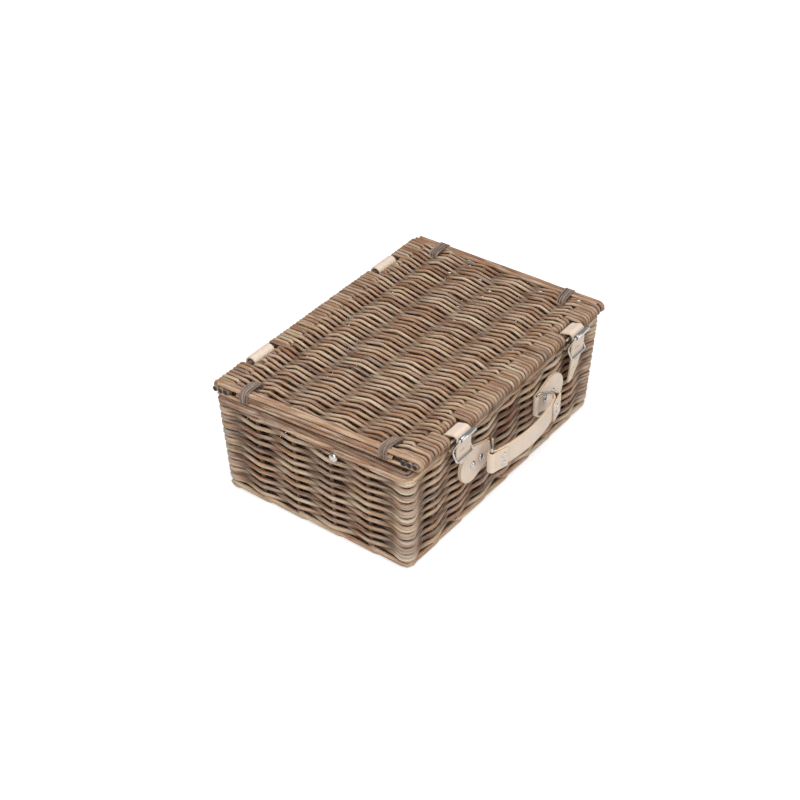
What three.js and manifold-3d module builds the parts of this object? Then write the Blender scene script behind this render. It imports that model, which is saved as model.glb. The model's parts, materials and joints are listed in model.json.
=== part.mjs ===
// Picnic hamper: a willow basket with a woven lid on leather loops, two buckled straps and a leather handle.
// Millimetres, +Z up. The origin is the middle of the underside, the front faces -Y and the hinges are at +Y.
import * as THREE from 'three';
import { mergeVertices } from 'three/addons/utils/BufferGeometryUtils.js';
import Module from 'manifold-3d';

// Clearances
const SEAT_GAP = 0.3;
const TURN_GAP = 0.35;
const SLIDE_GAP = 0.4;
const NOTCH_GAP = 0.8;

// Basket body
const RIM_LENGTH = 364;
const RIM_WIDTH = 246;
const BODY_HEIGHT = 122;
const END_TAPER = 7;
const SIDE_TAPER = 4.5;
const CORNER_RADIUS = 14;
const WALL_THICKNESS = 11;
const FOOT_HEIGHT = 9;
const BASE_THICKNESS = 8;
const BORDER_DIAMETER = 7.5;
const STAKE_DIAMETER = 6;
const STAKE_SEAT = 2;
const WALL_ROWS = 21;
const SIDE_STAKES = 7;
const END_STAKES = 4;
const POST_DIAMETER = 7;
const POST_INSET = 7.6;
const POST_BELOW_RIM = 1;

// Lid
const LID_THICKNESS = 13;
const LID_GAP = 0.6;
const LID_OVERHANG = 3;
const LID_END_INSET = 2;
const LID_SKEW = 14;
const STICK_DIAMETER = 6.5;
const STICK_RIB = 1;
const INNER_STICKS = 4;
const LID_WEAVERS = 96;
const INNER_STICK_SHARE = 0.1825;
const END_ROD_DIAMETER = 5;
const END_ROD_SHORT = 1;
const TIE_WIDTH = 13;
const TIE_REACH = 26;
const TIE_THICKNESS = 2.2;

// Relief of the weave: each row swells over every second rod and dips beside the others
const WEAVE_DIP = 4.6;
const DIP_REACH = 9;
const SWELL_FALL = 0.5;
const ROD_COVER = 0.6;

// Leather hinge loops
const HINGE_WIDTH = 32;
const HINGE_LEATHER = 2;
const HINGE_ROLL = 3.4;

// Straps and buckles
const HINGE_BAY = 2.5;
const STRAP_SHIFT_BAY = 0.18;
const STRAP_WIDTH = 24;
const STRAP_LEATHER = 2.4;
const STRAP_ARCH = 2;
const STRAP_BEND = 5;
const STRAP_SHOULDER = 8;
const TAIL_ROOT_WIDTH = 20;
const TAIL_TIP_WIDTH = 10;
const RIGHT_TAIL_DROP = 56;
const LEFT_TAIL_DROP = 26;
const TAIL_WALL_GAP = 0.6;
const BUCKLE_HEIGHT = 28;
const BUCKLE_WIRE = 2.4;
const BUCKLE_SIDE_GAP = 0.8;
const CENTRE_BAR_DROP = 17.4;
const ROLLER_DIAMETER = 5.5;
const ROLLER_RISE = 5.7;
const CHAPE_WIDTH = 18;
const CHAPE_LEATHER = 1.6;
const CHAPE_LEAF = 14;
const PRONG_DIAMETER = 2;
const PRONG_EYE_WALL = 1.1;
const PRONG_EYE_WIDTH = 3.4;
const PRONG_TIP_RISE = 2;

// Handle
const HANDLE_DROP = 44;
const BAND_WIDTH = 24;
const BAND_LEATHER = 3.4;
const BAND_BOW = 10;
const FLAP_LEATHER = 2.2;
const FLAP_LENGTH = 20;
const LOOP_LEATHER = 2.4;
const LOOSE_PLAY = 1.2;
const RING_WIRE = 2.5;
const RING_REACH = 22;
const RING_SPLAY = 52;
const RING_CORNER = 2;
const RING_BAY = 1.0334;
const TAB_BAY = 1.2171;
const TAB_ROUND = 42;
const TAB_LEATHER = 2.2;
const TAB_RIVET_OUTER = 21;
const TAB_RIVET_INNER = 36;

// Rivets and stud
const TAB_RIVET_HEAD = 8.4;
const TAB_RIVET_DOME = 1.8;
const TAB_RIVET_SHANK = 3.2;
const BAND_RIVET_HEAD = 6;
const BAND_RIVET_DOME = 1.4;
const BAND_RIVET_SHANK = 2.4;
const BAND_RIVET_INSET = 13;
const BAND_RIVET_SPACING = 10;
const STUD_HEAD = 10;
const STUD_DOME = 2.6;
const STUD_FORWARD = 32;
const STUD_DROP = 12;
const RIVET_BACK = 1;

// Facets on round shapes
const ROD_SIDES = 12;
const WIRE_SIDES = 8;
const STAKE_SIDES = 8;
const RIVET_SIDES = 10;
const ARC_STEPS = 8;
const CORNER_STEPS = 4;

// Sizes that follow from those above
const LID_LENGTH = RIM_LENGTH - 2 * LID_END_INSET;
const LID_WIDTH = RIM_WIDTH + 2 * LID_OVERHANG;
const STICK_RADIUS = STICK_DIAMETER / 2;
const BORDER_RADIUS = BORDER_DIAMETER / 2;
const STAKE_RADIUS = STAKE_DIAMETER / 2;
const POST_RADIUS = POST_DIAMETER / 2;
const END_ROD_RADIUS = END_ROD_DIAMETER / 2;
const BUCKLE_WIRE_RADIUS = BUCKLE_WIRE / 2;
const ROLLER_RADIUS = ROLLER_DIAMETER / 2;
const RING_WIRE_RADIUS = RING_WIRE / 2;
const WALL_BOTTOM = FOOT_HEIGHT + SEAT_GAP;
const BORDER_HEIGHT = BODY_HEIGHT - BORDER_RADIUS;
const WALL_TOP = BODY_HEIGHT - BORDER_DIAMETER - SEAT_GAP;
const HINGE_Y = LID_WIDTH / 2 - LID_THICKNESS / 2;
const HINGE_Z = BODY_HEIGHT + LID_GAP + LID_THICKNESS / 2;
const INNER_STICK_PITCH = LID_WIDTH * INNER_STICK_SHARE;
const HANDLE_HEIGHT = BODY_HEIGHT - HANDLE_DROP;
const STUD_HEIGHT = BODY_HEIGHT - STUD_DROP;
const RIGHT_TAIL_HEIGHT = BODY_HEIGHT - RIGHT_TAIL_DROP;
const LEFT_TAIL_HEIGHT = BODY_HEIGHT - LEFT_TAIL_DROP;

const wasm = await Module();
wasm.setup();

// Geometry helpers

function asSolid(geometry) {
  const bare = new THREE.BufferGeometry();
  bare.setAttribute('position', geometry.getAttribute('position').clone());
  bare.setIndex(geometry.index);
  const merged = mergeVertices(bare, 1e-4);
  const mesh = new wasm.Mesh({
    numProp: 3,
    vertProperties: new Float32Array(merged.getAttribute('position').array),
    triVerts: new Uint32Array(merged.index.array),
  });
  return new wasm.Manifold(mesh);
}

function asGeometry(solid) {
  const mesh = solid.getMesh();
  const geometry = new THREE.BufferGeometry();
  geometry.setAttribute('position', new THREE.BufferAttribute(mesh.vertProperties, 3));
  geometry.setIndex(new THREE.BufferAttribute(mesh.triVerts, 1));
  geometry.computeVertexNormals();
  return geometry;
}

function join(...geometries) {
  return asGeometry(geometries.map(asSolid).reduce((whole, piece) => whole.add(piece)));
}

function cut(geometry, ...tools) {
  return asGeometry(tools.map(asSolid).reduce((rest, tool) => rest.subtract(tool), asSolid(geometry)));
}

function common(geometry, other) {
  return asGeometry(asSolid(geometry).intersect(asSolid(other)));
}

function vec(x, y, z) {
  return new THREE.Vector3(x, y, z);
}

// A straight round rod from one point to another.
function rod(from, to, radius, sides = ROD_SIDES) {
  const along = to.clone().sub(from);
  const geometry = new THREE.CylinderGeometry(radius, radius, along.length(), sides);
  geometry.applyQuaternion(new THREE.Quaternion().setFromUnitVectors(vec(0, 1, 0), along.normalize()));
  const middle = from.clone().add(to).multiplyScalar(0.5);
  return geometry.translate(middle.x, middle.y, middle.z);
}

// A straight round rod along X, centred on x = 0.
function crossRod(half, y, z, radius, sides = ROD_SIDES) {
  return rod(vec(-half, y, z), vec(half, y, z), radius, sides);
}

// A rectangular block between two opposite corners.
function block(low, high) {
  const size = high.clone().sub(low);
  const middle = low.clone().add(high).multiplyScalar(0.5);
  return new THREE.BoxGeometry(size.x, size.y, size.z).translate(middle.x, middle.y, middle.z);
}

// A flat shape made thick along Z, from one height to another.
function slabZ(shape, low, high) {
  const geometry = new THREE.ExtrudeGeometry(shape, { depth: high - low, bevelEnabled: false });
  return geometry.translate(0, 0, low);
}

// Turns a solid that is drawn in (x, y) and thick along Z into one drawn in (y, z) and thick along X.
function alongX(geometry) {
  return geometry.applyMatrix4(new THREE.Matrix4().makeBasis(vec(0, 1, 0), vec(0, 0, 1), vec(1, 0, 0)));
}

// A shape drawn in (y, z) made thick along X, centred on x = 0.
function slabX(shape, width) {
  return alongX(slabZ(shape, -width / 2, width / 2));
}

// A shape drawn in (x, z) made thick along Y, from y = low to y = high.
function slabY(shape, low, high) {
  const geometry = slabZ(shape, -high, -low);
  return geometry.applyMatrix4(new THREE.Matrix4().makeBasis(vec(1, 0, 0), vec(0, 0, 1), vec(0, -1, 0)));
}

function arcPoints(x, y, radius, from, to, steps = ARC_STEPS) {
  const points = [];
  for (let i = 0; i <= steps; i += 1) {
    const angle = from + ((to - from) * i) / steps;
    points.push(new THREE.Vector2(x + radius * Math.cos(angle), y + radius * Math.sin(angle)));
  }
  return points;
}

function roundedRectangle(length, width, radius) {
  const x = length / 2 - radius;
  const y = width / 2 - radius;
  const quarter = Math.PI / 2;
  const corners = [[x, y], [-x, y], [-x, -y], [x, -y]];
  const points = corners.flatMap(([cx, cy], i) => arcPoints(cx, cy, radius, i * quarter, (i + 1) * quarter));
  return new THREE.Shape(points);
}

// The outline of a belt round two circles.
function beltPoints(a, radiusA, b, radiusB) {
  const along = Math.atan2(b.y - a.y, b.x - a.x);
  const spread = Math.acos((radiusA - radiusB) / a.distanceTo(b));
  const round = 2 * Math.PI;
  return [
    ...arcPoints(b.x, b.y, radiusB, along - spread, along + spread),
    ...arcPoints(a.x, a.y, radiusA, along + spread, along + round - spread),
  ];
}

// The outline of a strip of leather that follows a line of points in its own plane.
function stripPoints(line, thickness) {
  const left = [];
  const right = [];
  line.forEach((point, i) => {
    const before = line[Math.max(i - 1, 0)];
    const after = line[Math.min(i + 1, line.length - 1)];
    const along = after.clone().sub(before).normalize();
    const side = new THREE.Vector2(-along.y, along.x).multiplyScalar(thickness / 2);
    left.push(point.clone().add(side));
    right.push(point.clone().sub(side));
  });
  return [...right, ...left.reverse()];
}

// A closed solid through outlines of equal point count, each at its own height, with sides folded outwards.
function loft(outlines, heights) {
  const count = outlines[0].length;
  const points = outlines.flatMap((outline, level) => outline.map((p) => vec(p.x, p.y, heights[level])));
  const bulges = (a, b, c, d) => {
    const [along, across, rest] = [b, c, d].map((corner) => points[corner].clone().sub(points[a]));
    return along.cross(across).dot(rest) > 0;
  };
  const top = (outlines.length - 1) * count;
  const faces = [];
  THREE.ShapeUtils.triangulateShape(outlines[0], []).forEach(([a, b, c]) => faces.push(a, c, b));
  THREE.ShapeUtils.triangulateShape(outlines.at(-1), []).forEach(([a, b, c]) => (
    faces.push(top + a, top + b, top + c)
  ));
  for (let low = 0; low < top; low += count) {
    for (let i = 0; i < count; i += 1) {
      const next = (i + 1) % count;
      const quad = [low + i, low + next, low + count + next, low + count + i];
      const [a, b, c, d] = bulges(...quad) ? [quad[3], ...quad.slice(0, 3)] : quad;
      faces.push(a, b, c);
      faces.push(a, c, d);
    }
  }
  const geometry = new THREE.BufferGeometry().setFromPoints(points);
  geometry.setIndex(faces);
  geometry.computeVertexNormals();
  return geometry;
}

// A turned solid about Y from a profile of [radius, height] pairs that starts and ends on the axis.
function turned(profile, sides = RIVET_SIDES) {
  return new THREE.LatheGeometry(profile.map(([r, y]) => new THREE.Vector2(r, y)), sides);
}

// A bent wire through points, as a solid tube.
function wire(points, radius, steps) {
  const section = new THREE.Shape(arcPoints(0, 0, radius, 0, 2 * Math.PI, WIRE_SIDES).slice(0, WIRE_SIDES));
  const extrudePath = new THREE.CatmullRomCurve3(points);
  return new THREE.ExtrudeGeometry(section, { steps, extrudePath, bevelEnabled: false });
}

// A closed wire ring through points that lie in the plane x = 0.
function wireRing(points, radius) {
  const positions = [];
  const faces = [];
  const count = points.length;
  points.forEach((point, i) => {
    const along = points[(i + 1) % count].clone().sub(points[(i + count - 1) % count]).normalize();
    const outward = vec(0, along.z, -along.y);
    for (let k = 0; k < WIRE_SIDES; k += 1) {
      const angle = (2 * Math.PI * k) / WIRE_SIDES;
      const across = outward.clone().multiplyScalar(radius * Math.cos(angle));
      positions.push(point.x + radius * Math.sin(angle), point.y + across.y, point.z + across.z);
      const side = (k + 1) % WIRE_SIDES;
      const next = (i + 1) % count;
      faces.push(i * WIRE_SIDES + k, next * WIRE_SIDES + side, i * WIRE_SIDES + side);
      faces.push(i * WIRE_SIDES + k, next * WIRE_SIDES + k, next * WIRE_SIDES + side);
    }
  });
  const geometry = new THREE.BufferGeometry();
  geometry.setAttribute('position', new THREE.Float32BufferAttribute(positions, 3));
  geometry.setIndex(faces);
  geometry.computeVertexNormals();
  return geometry;
}

// Finishes

function willow(colour) {
  return new THREE.MeshStandardMaterial({ color: colour, roughness: 0.75, metalness: 0 });
}

function leather() {
  return new THREE.MeshStandardMaterial({ color: 0xdecbb8, roughness: 0.6, metalness: 0 });
}

function nickel() {
  return new THREE.MeshStandardMaterial({ color: 0xd8d6d0, roughness: 0.2, metalness: 1 });
}

const WEAVE = 0x9a7a5e;
const STAKE = 0x8a6c54;
const TIE = 0x6e655c;

const hamper = new THREE.Group();

function addPiece(parent, name, geometry, material) {
  const mesh = new THREE.Mesh(geometry, material);
  mesh.name = name;
  parent.add(mesh);
  return mesh;
}

// Basket body

// Half length and half width of the outside at a height: the walls lean out from base to rim.
function halfLength(z) {
  return RIM_LENGTH / 2 - END_TAPER * (1 - z / BODY_HEIGHT);
}

function halfWidth(z) {
  return RIM_WIDTH / 2 - SIDE_TAPER * (1 - z / BODY_HEIGHT);
}

// Each wall is worked out as if it faced -Y: span is its half length and face the distance of its outside.
const SIDE_WALL = { span: halfLength, face: halfWidth, stakes: SIDE_STAKES };
const END_WALL = { span: halfWidth, face: halfLength, stakes: END_STAKES };
const WALLS = {
  front: { ...SIDE_WALL, turn: 0 },
  right: { ...END_WALL, turn: Math.PI / 2 },
  back: { ...SIDE_WALL, turn: Math.PI },
  left: { ...END_WALL, turn: -Math.PI / 2 },
};

// Places along one row of weave, each with its depth below the swell.
function rowRelief(places, row, coverDepth) {
  return places.flatMap((place, i) => {
    const over = (i + row) % 2 === 0;
    const beside = over ? SWELL_FALL : WEAVE_DIP;
    return [[place - DIP_REACH, beside], [place, over ? 0 : coverDepth], [place + DIP_REACH, beside]];
  });
}

// The middle of each row of weave between two ends, with the ends themselves.
function rowLevels(low, high, rows) {
  const pitch = (high - low) / rows;
  const levels = Array.from({ length: rows }, (_, row) => ({ row, at: low + (row + 0.5) * pitch }));
  return [{ row: 0, at: low }, ...levels, { row: rows - 1, at: high }];
}

function wallOutline(wall, row, z) {
  const span = wall.span(z);
  const face = wall.face(z);
  const mitre = SEAT_GAP / CORNER_RADIUS;
  const inner = SEAT_GAP * Math.SQRT1_2;
  const x = span - CORNER_RADIUS;
  const y = -(face - CORNER_RADIUS);
  const down = (3 * Math.PI) / 2;
  const eighth = Math.PI / 4;
  const coverDepth = WALL_THICKNESS / 2 - STAKE_RADIUS - SEAT_GAP - ROD_COVER;
  const relief = rowRelief(stakePlaces(wall), row, coverDepth);
  return [
    ...arcPoints(-x, y, CORNER_RADIUS, down - eighth + mitre, down, CORNER_STEPS),
    ...relief.map(([place, depth]) => new THREE.Vector2(place, depth - face)),
    ...arcPoints(x, y, CORNER_RADIUS, down, down + eighth - mitre, CORNER_STEPS),
    new THREE.Vector2(span - WALL_THICKNESS - inner, -(face - WALL_THICKNESS)),
    new THREE.Vector2(-(span - WALL_THICKNESS - inner), -(face - WALL_THICKNESS)),
  ];
}

function stakePitch(wall) {
  return (2 * (wall.span(BORDER_HEIGHT) - POST_INSET)) / (wall.stakes + 1);
}

function stakePlaces(wall) {
  return Array.from({ length: wall.stakes }, (_, i) => (i + 1 - (wall.stakes + 1) / 2) * stakePitch(wall));
}

// Hinge loops lie midway between two stakes, this far from the middle. The straps lie a little further right.
const HINGE_X = HINGE_BAY * stakePitch(SIDE_WALL);
const STRAP_SHIFT = STRAP_SHIFT_BAY * stakePitch(SIDE_WALL);

function strapX(side) {
  return side * HINGE_X + STRAP_SHIFT;
}

function wallMiddle(wall, z) {
  return -(wall.face(z) - WALL_THICKNESS / 2);
}

function stake(wall, x, low, high, radius) {
  return rod(vec(x, wallMiddle(wall, low), low), vec(x, wallMiddle(wall, high), high), radius, STAKE_SIDES);
}

function cornerPost(sideX, sideY, low, high, radius) {
  const at = (z) => vec(sideX * (halfLength(z) - POST_INSET), sideY * (halfWidth(z) - POST_INSET), z);
  return rod(at(low), at(high), radius);
}

const STAKE_BOTTOM = WALL_BOTTOM + STAKE_SEAT;
const POST_TOP = BODY_HEIGHT - POST_BELOW_RIM;

function wallWeave(wall, extraCuts) {
  const levels = rowLevels(WALL_BOTTOM, WALL_TOP, WALL_ROWS);
  const panel = loft(levels.map(({ row, at }) => wallOutline(wall, row, at)), levels.map(({ at }) => at));
  const channels = stakePlaces(wall).map((x) => (
    stake(wall, x, STAKE_BOTTOM - SEAT_GAP, BODY_HEIGHT, STAKE_RADIUS + SEAT_GAP)
  ));
  panel.rotateZ(wall.turn);
  channels.forEach((channel) => channel.rotateZ(wall.turn));
  const corners = [[-1, -1], [1, -1], [1, 1], [-1, 1]].map(([x, y]) => (
    cornerPost(x, y, 0, BODY_HEIGHT, POST_RADIUS + SEAT_GAP)
  ));
  return cut(panel, ...channels, ...corners, ...extraCuts);
}

function stakesAndBorder(wall) {
  const reach = wall.span(BORDER_HEIGHT) - POST_INSET - POST_RADIUS - SEAT_GAP;
  const y = wallMiddle(wall, BORDER_HEIGHT);
  const border = rod(vec(-reach, y, BORDER_HEIGHT), vec(reach, y, BORDER_HEIGHT), BORDER_RADIUS);
  const stakes = stakePlaces(wall).map((x) => stake(wall, x, STAKE_BOTTOM, BORDER_HEIGHT, STAKE_RADIUS));
  return join(border, ...stakes).rotateZ(wall.turn);
}

function footBorder() {
  const ring = roundedRectangle(2 * halfLength(0), 2 * halfWidth(0), CORNER_RADIUS);
  const length = 2 * (halfLength(0) - WALL_THICKNESS);
  const width = 2 * (halfWidth(0) - WALL_THICKNESS);
  ring.holes.push(roundedRectangle(length, width, CORNER_RADIUS - WALL_THICKNESS));
  return slabZ(ring, 0, FOOT_HEIGHT);
}

function baseWeave() {
  const inset = WALL_THICKNESS + SEAT_GAP;
  const length = 2 * (halfLength(0) - inset);
  const width = 2 * (halfWidth(0) - inset);
  return slabZ(roundedRectangle(length, width, CORNER_RADIUS - WALL_THICKNESS), 0, BASE_THICKNESS);
}

// Leather hinge loops, each round the lid's back stick and the back border

const BORDER_Y = -wallMiddle(WALLS.back, BORDER_HEIGHT);
const HINGE_STICK_LOOP = STICK_RADIUS + TURN_GAP + HINGE_ROLL;
const HINGE_BORDER_LOOP = BORDER_RADIUS + SEAT_GAP + HINGE_LEATHER;

function hingeLoop() {
  const stick = new THREE.Vector2(HINGE_Y, HINGE_Z);
  const border = new THREE.Vector2(BORDER_Y, BORDER_HEIGHT);
  const belt = new THREE.Shape(beltPoints(stick, HINGE_STICK_LOOP, border, HINGE_BORDER_LOOP));
  const stickBore = HINGE_STICK_LOOP - HINGE_ROLL;
  const borderBore = HINGE_BORDER_LOOP - HINGE_LEATHER;
  belt.holes.push(new THREE.Path(beltPoints(stick, stickBore, border, borderBore)));
  return slabX(belt, HINGE_WIDTH);
}

function hingeNotch(side) {
  const half = HINGE_WIDTH / 2 + NOTCH_GAP;
  const x = side * HINGE_X;
  const floor = BORDER_HEIGHT - HINGE_BORDER_LOOP - SEAT_GAP;
  return block(vec(x - half, 0, floor), vec(x + half, RIM_WIDTH, BODY_HEIGHT));
}

// Strap path: a tail that bends along a circle about the hinge, so that it slides up out of the buckle

const STRAP_LOOP = STICK_RADIUS + TURN_GAP + STRAP_LEATHER;
const TAIL_INNER = Math.max(
  Math.hypot(HINGE_Y + halfWidth(RIGHT_TAIL_HEIGHT) + TAIL_WALL_GAP, HINGE_Z - RIGHT_TAIL_HEIGHT),
  HINGE_Y + LID_WIDTH / 2 + NOTCH_GAP,
);
const TAIL_OUTER = TAIL_INNER + STRAP_LEATHER;

// The front place at a height on a circle about the hinge.
function frontOf(radius, z) {
  return HINGE_Y - Math.sqrt(radius * radius - (z - HINGE_Z) ** 2);
}

function strapLine(tipHeight) {
  const middle = (TAIL_INNER + TAIL_OUTER) / 2;
  const top = HINGE_Z + STRAP_LOOP - STRAP_LEATHER / 2;
  const bendZ = top + STRAP_ARCH - STRAP_BEND;
  const bendY = frontOf(middle, bendZ) + STRAP_BEND;
  const line = [new THREE.Vector2(-HINGE_Y, top)];
  line.push(...arcPoints(bendY, bendZ, STRAP_BEND, Math.PI / 2, Math.PI, ARC_STEPS));
  const steps = 2 * ARC_STEPS;
  for (let i = 1; i <= steps; i += 1) {
    const z = bendZ + ((tipHeight - bendZ) * i) / steps;
    line.push(new THREE.Vector2(frontOf(middle, z), z));
  }
  return line;
}

function strapOutline(tipHeight, shoulderHeight) {
  const half = STRAP_WIDTH / 2;
  const root = TAIL_ROOT_WIDTH / 2;
  const tip = TAIL_TIP_WIDTH / 2;
  const top = HINGE_Z + LID_THICKNESS;
  const neck = Math.max(shoulderHeight - STRAP_SHOULDER, tipHeight + tip);
  const end = arcPoints(0, tipHeight + tip, tip, Math.PI, 2 * Math.PI);
  return new THREE.Shape([
    new THREE.Vector2(half, shoulderHeight),
    new THREE.Vector2(half, top),
    new THREE.Vector2(-half, top),
    new THREE.Vector2(-half, shoulderHeight),
    new THREE.Vector2(-root, neck),
    ...end,
    new THREE.Vector2(root, neck),
  ]);
}

const ROLLER_Z = HINGE_Z + ROLLER_RISE;
const ROLLER_Y = frontOf(TAIL_OUTER + SLIDE_GAP + ROLLER_RADIUS, ROLLER_Z);
const BOTTOM_BAR_Z = ROLLER_Z - BUCKLE_HEIGHT;
const BOTTOM_BAR_Y = frontOf(TAIL_OUTER + SLIDE_GAP + BUCKLE_WIRE_RADIUS, BOTTOM_BAR_Z);
const CENTRE_BAR_Z = ROLLER_Z - CENTRE_BAR_DROP;
const CHAPE_LOOP = BUCKLE_WIRE_RADIUS + TURN_GAP + CHAPE_LEATHER;
const CENTRE_BAR_Y = frontOf(TAIL_INNER - SLIDE_GAP - CHAPE_LOOP, CENTRE_BAR_Z);
const BUCKLE_ARM_X = STRAP_WIDTH / 2 + BUCKLE_SIDE_GAP + BUCKLE_WIRE_RADIUS;
const TAIL_HEIGHTS = { left: LEFT_TAIL_HEIGHT, right: RIGHT_TAIL_HEIGHT };

function lidStrap(tipHeight) {
  const strip = slabX(new THREE.Shape(stripPoints(strapLine(tipHeight), STRAP_LEATHER)), STRAP_WIDTH);
  const outline = slabY(strapOutline(tipHeight, BOTTOM_BAR_Z), -RIM_WIDTH, 0);
  const loop = crossRod(STRAP_WIDTH / 2, -HINGE_Y, HINGE_Z, STRAP_LOOP);
  const bore = crossRod(STRAP_WIDTH, -HINGE_Y, HINGE_Z, STRAP_LOOP - STRAP_LEATHER);
  return cut(join(common(strip, outline), loop), bore);
}

function buckleFrame() {
  const bar = (y, z) => crossRod(BUCKLE_ARM_X, y, z, BUCKLE_WIRE_RADIUS, WIRE_SIDES);
  const pieces = [bar(ROLLER_Y, ROLLER_Z), bar(CENTRE_BAR_Y, CENTRE_BAR_Z), bar(BOTTOM_BAR_Y, BOTTOM_BAR_Z)];
  [-1, 1].forEach((side) => {
    const x = side * BUCKLE_ARM_X;
    const bends = [
      vec(x, ROLLER_Y, ROLLER_Z),
      vec(x, CENTRE_BAR_Y, CENTRE_BAR_Z),
      vec(x, BOTTOM_BAR_Y, BOTTOM_BAR_Z),
    ];
    pieces.push(wire(bends, BUCKLE_WIRE_RADIUS, ARC_STEPS / 2));
    [bends[0], bends[2]].forEach((end) => {
      const knuckle = new THREE.SphereGeometry(BUCKLE_WIRE_RADIUS, WIRE_SIDES, ARC_STEPS / 2);
      pieces.push(knuckle.translate(end.x, end.y, end.z));
    });
  });
  return join(...pieces);
}

function buckleRoller() {
  const half = BUCKLE_ARM_X - BUCKLE_WIRE_RADIUS - SLIDE_GAP;
  const bore = BUCKLE_WIRE_RADIUS + TURN_GAP;
  return cut(crossRod(half, 0, 0, ROLLER_RADIUS), crossRod(2 * half, 0, 0, bore));
}

const PRONG_EYE = BUCKLE_WIRE_RADIUS + TURN_GAP + PRONG_EYE_WALL;

function buckleProng() {
  const radius = PRONG_DIAMETER / 2;
  const half = PRONG_EYE_WIDTH / 2;
  const eye = crossRod(half, CENTRE_BAR_Y, CENTRE_BAR_Z, PRONG_EYE);
  const lane = TAIL_INNER - SLIDE_GAP - radius;
  const footZ = CENTRE_BAR_Z + BUCKLE_WIRE_RADIUS + TURN_GAP;
  const tipZ = HINGE_Z + PRONG_TIP_RISE;
  const foot = vec(0, CENTRE_BAR_Y - radius, footZ);
  const pin = rod(foot, vec(0, frontOf(lane, tipZ), tipZ), radius, WIRE_SIDES);
  const bore = BUCKLE_WIRE_RADIUS + TURN_GAP;
  const hole = crossRod(CHAPE_WIDTH, CENTRE_BAR_Y, CENTRE_BAR_Z, bore);
  return cut(join(eye, pin), hole);
}

const TONGUE = 2 * CHAPE_LEATHER;
const TONGUE_Z = WALL_TOP - TONGUE / 2;

function chapeNotch(side) {
  const half = CHAPE_WIDTH / 2 + NOTCH_GAP;
  const x = strapX(side);
  return block(vec(x - half, -RIM_WIDTH, TONGUE_Z - TONGUE / 2 - SEAT_GAP), vec(x + half, 0, BODY_HEIGHT));
}

function buckleChape() {
  const outside = -(halfWidth(TONGUE_Z) + TONGUE / 2);
  const inside = -(halfWidth(TONGUE_Z - CHAPE_LEAF) - WALL_THICKNESS - NOTCH_GAP - TONGUE / 2);
  const line = [
    new THREE.Vector2(CENTRE_BAR_Y, CENTRE_BAR_Z),
    new THREE.Vector2(outside, TONGUE_Z + TONGUE),
    new THREE.Vector2(outside + TONGUE, TONGUE_Z),
    new THREE.Vector2(inside - TONGUE / 2, TONGUE_Z),
    new THREE.Vector2(inside, TONGUE_Z - TONGUE / 2),
    new THREE.Vector2(inside, TONGUE_Z - CHAPE_LEAF),
  ];
  const tongue = slabX(new THREE.Shape(stripPoints(line, TONGUE)), CHAPE_WIDTH);
  const loop = crossRod(CHAPE_WIDTH / 2, CENTRE_BAR_Y, CENTRE_BAR_Z, CHAPE_LOOP);
  const bore = crossRod(CHAPE_WIDTH, CENTRE_BAR_Y, CENTRE_BAR_Z, BUCKLE_WIRE_RADIUS + TURN_GAP);
  const slot = PRONG_EYE_WIDTH / 2 + SEAT_GAP;
  const room = PRONG_EYE + SEAT_GAP;
  const prongSlot = block(
    vec(-slot, CENTRE_BAR_Y - CHAPE_LOOP, CENTRE_BAR_Z - room),
    vec(slot, CENTRE_BAR_Y + room, CENTRE_BAR_Z + CHAPE_LOOP),
  );
  return cut(join(tongue, loop), bore, prongSlot);
}

// Handle: tabs on the wall, wire rings that swing in their folds, and a bowed leather band between the rings

const TAB_BACK = -(halfWidth(HANDLE_HEIGHT + TAB_ROUND / 2) + SEAT_GAP);
const TAB_LOOP = RING_WIRE_RADIUS + TURN_GAP + TAB_LEATHER;
const TAB_THICKNESS = 2 * TAB_LEATHER;
const RING_PIVOT_X = RING_BAY * stakePitch(SIDE_WALL);
const TAB_LENGTH = TAB_BAY * stakePitch(SIDE_WALL);
const RING_PIVOT_Y = TAB_BACK - TAB_LOOP;
const SPLAY = THREE.MathUtils.degToRad(RING_SPLAY);
const BAND_PIVOT_X = RING_PIVOT_X + RING_REACH * Math.sin(SPLAY);
const BAND_PIVOT_Y = RING_PIVOT_Y - RING_REACH * Math.cos(SPLAY);
const TAB_RIVETS = { outer: TAB_LENGTH - TAB_RIVET_OUTER, inner: TAB_LENGTH - TAB_RIVET_INNER };

// A handle tab in its own frame: the ring's pivot is the origin and the rounded end lies along side * X.
function handleTab(side) {
  const half = TAB_ROUND / 2;
  const neck = BAND_WIDTH / 2;
  const middle = TAB_LENGTH - half;
  const lean = Math.atan2(neck, middle) + Math.acos(half / Math.hypot(middle, neck));
  const outline = new THREE.Shape([
    new THREE.Vector2(0, side * neck),
    new THREE.Vector2(0, -side * neck),
    ...arcPoints(side * middle, 0, side * half, -Math.PI + lean, Math.PI - lean, 3 * ARC_STEPS),
  ]);
  const leaf = slabY(outline, TAB_LOOP - TAB_THICKNESS, TAB_LOOP);
  const loop = rod(vec(0, 0, -neck), vec(0, 0, neck), TAB_LOOP);
  const bore = rod(vec(0, 0, -half), vec(0, 0, half), TAB_LOOP - TAB_LEATHER);
  const holes = Object.values(TAB_RIVETS).map((x) => (
    rod(vec(side * x, -TAB_LOOP, 0), vec(side * x, TAB_LOOP, 0), TAB_RIVET_SHANK / 2 + SEAT_GAP)
  ));
  return cut(join(leaf, loop), bore, ...holes);
}

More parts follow.
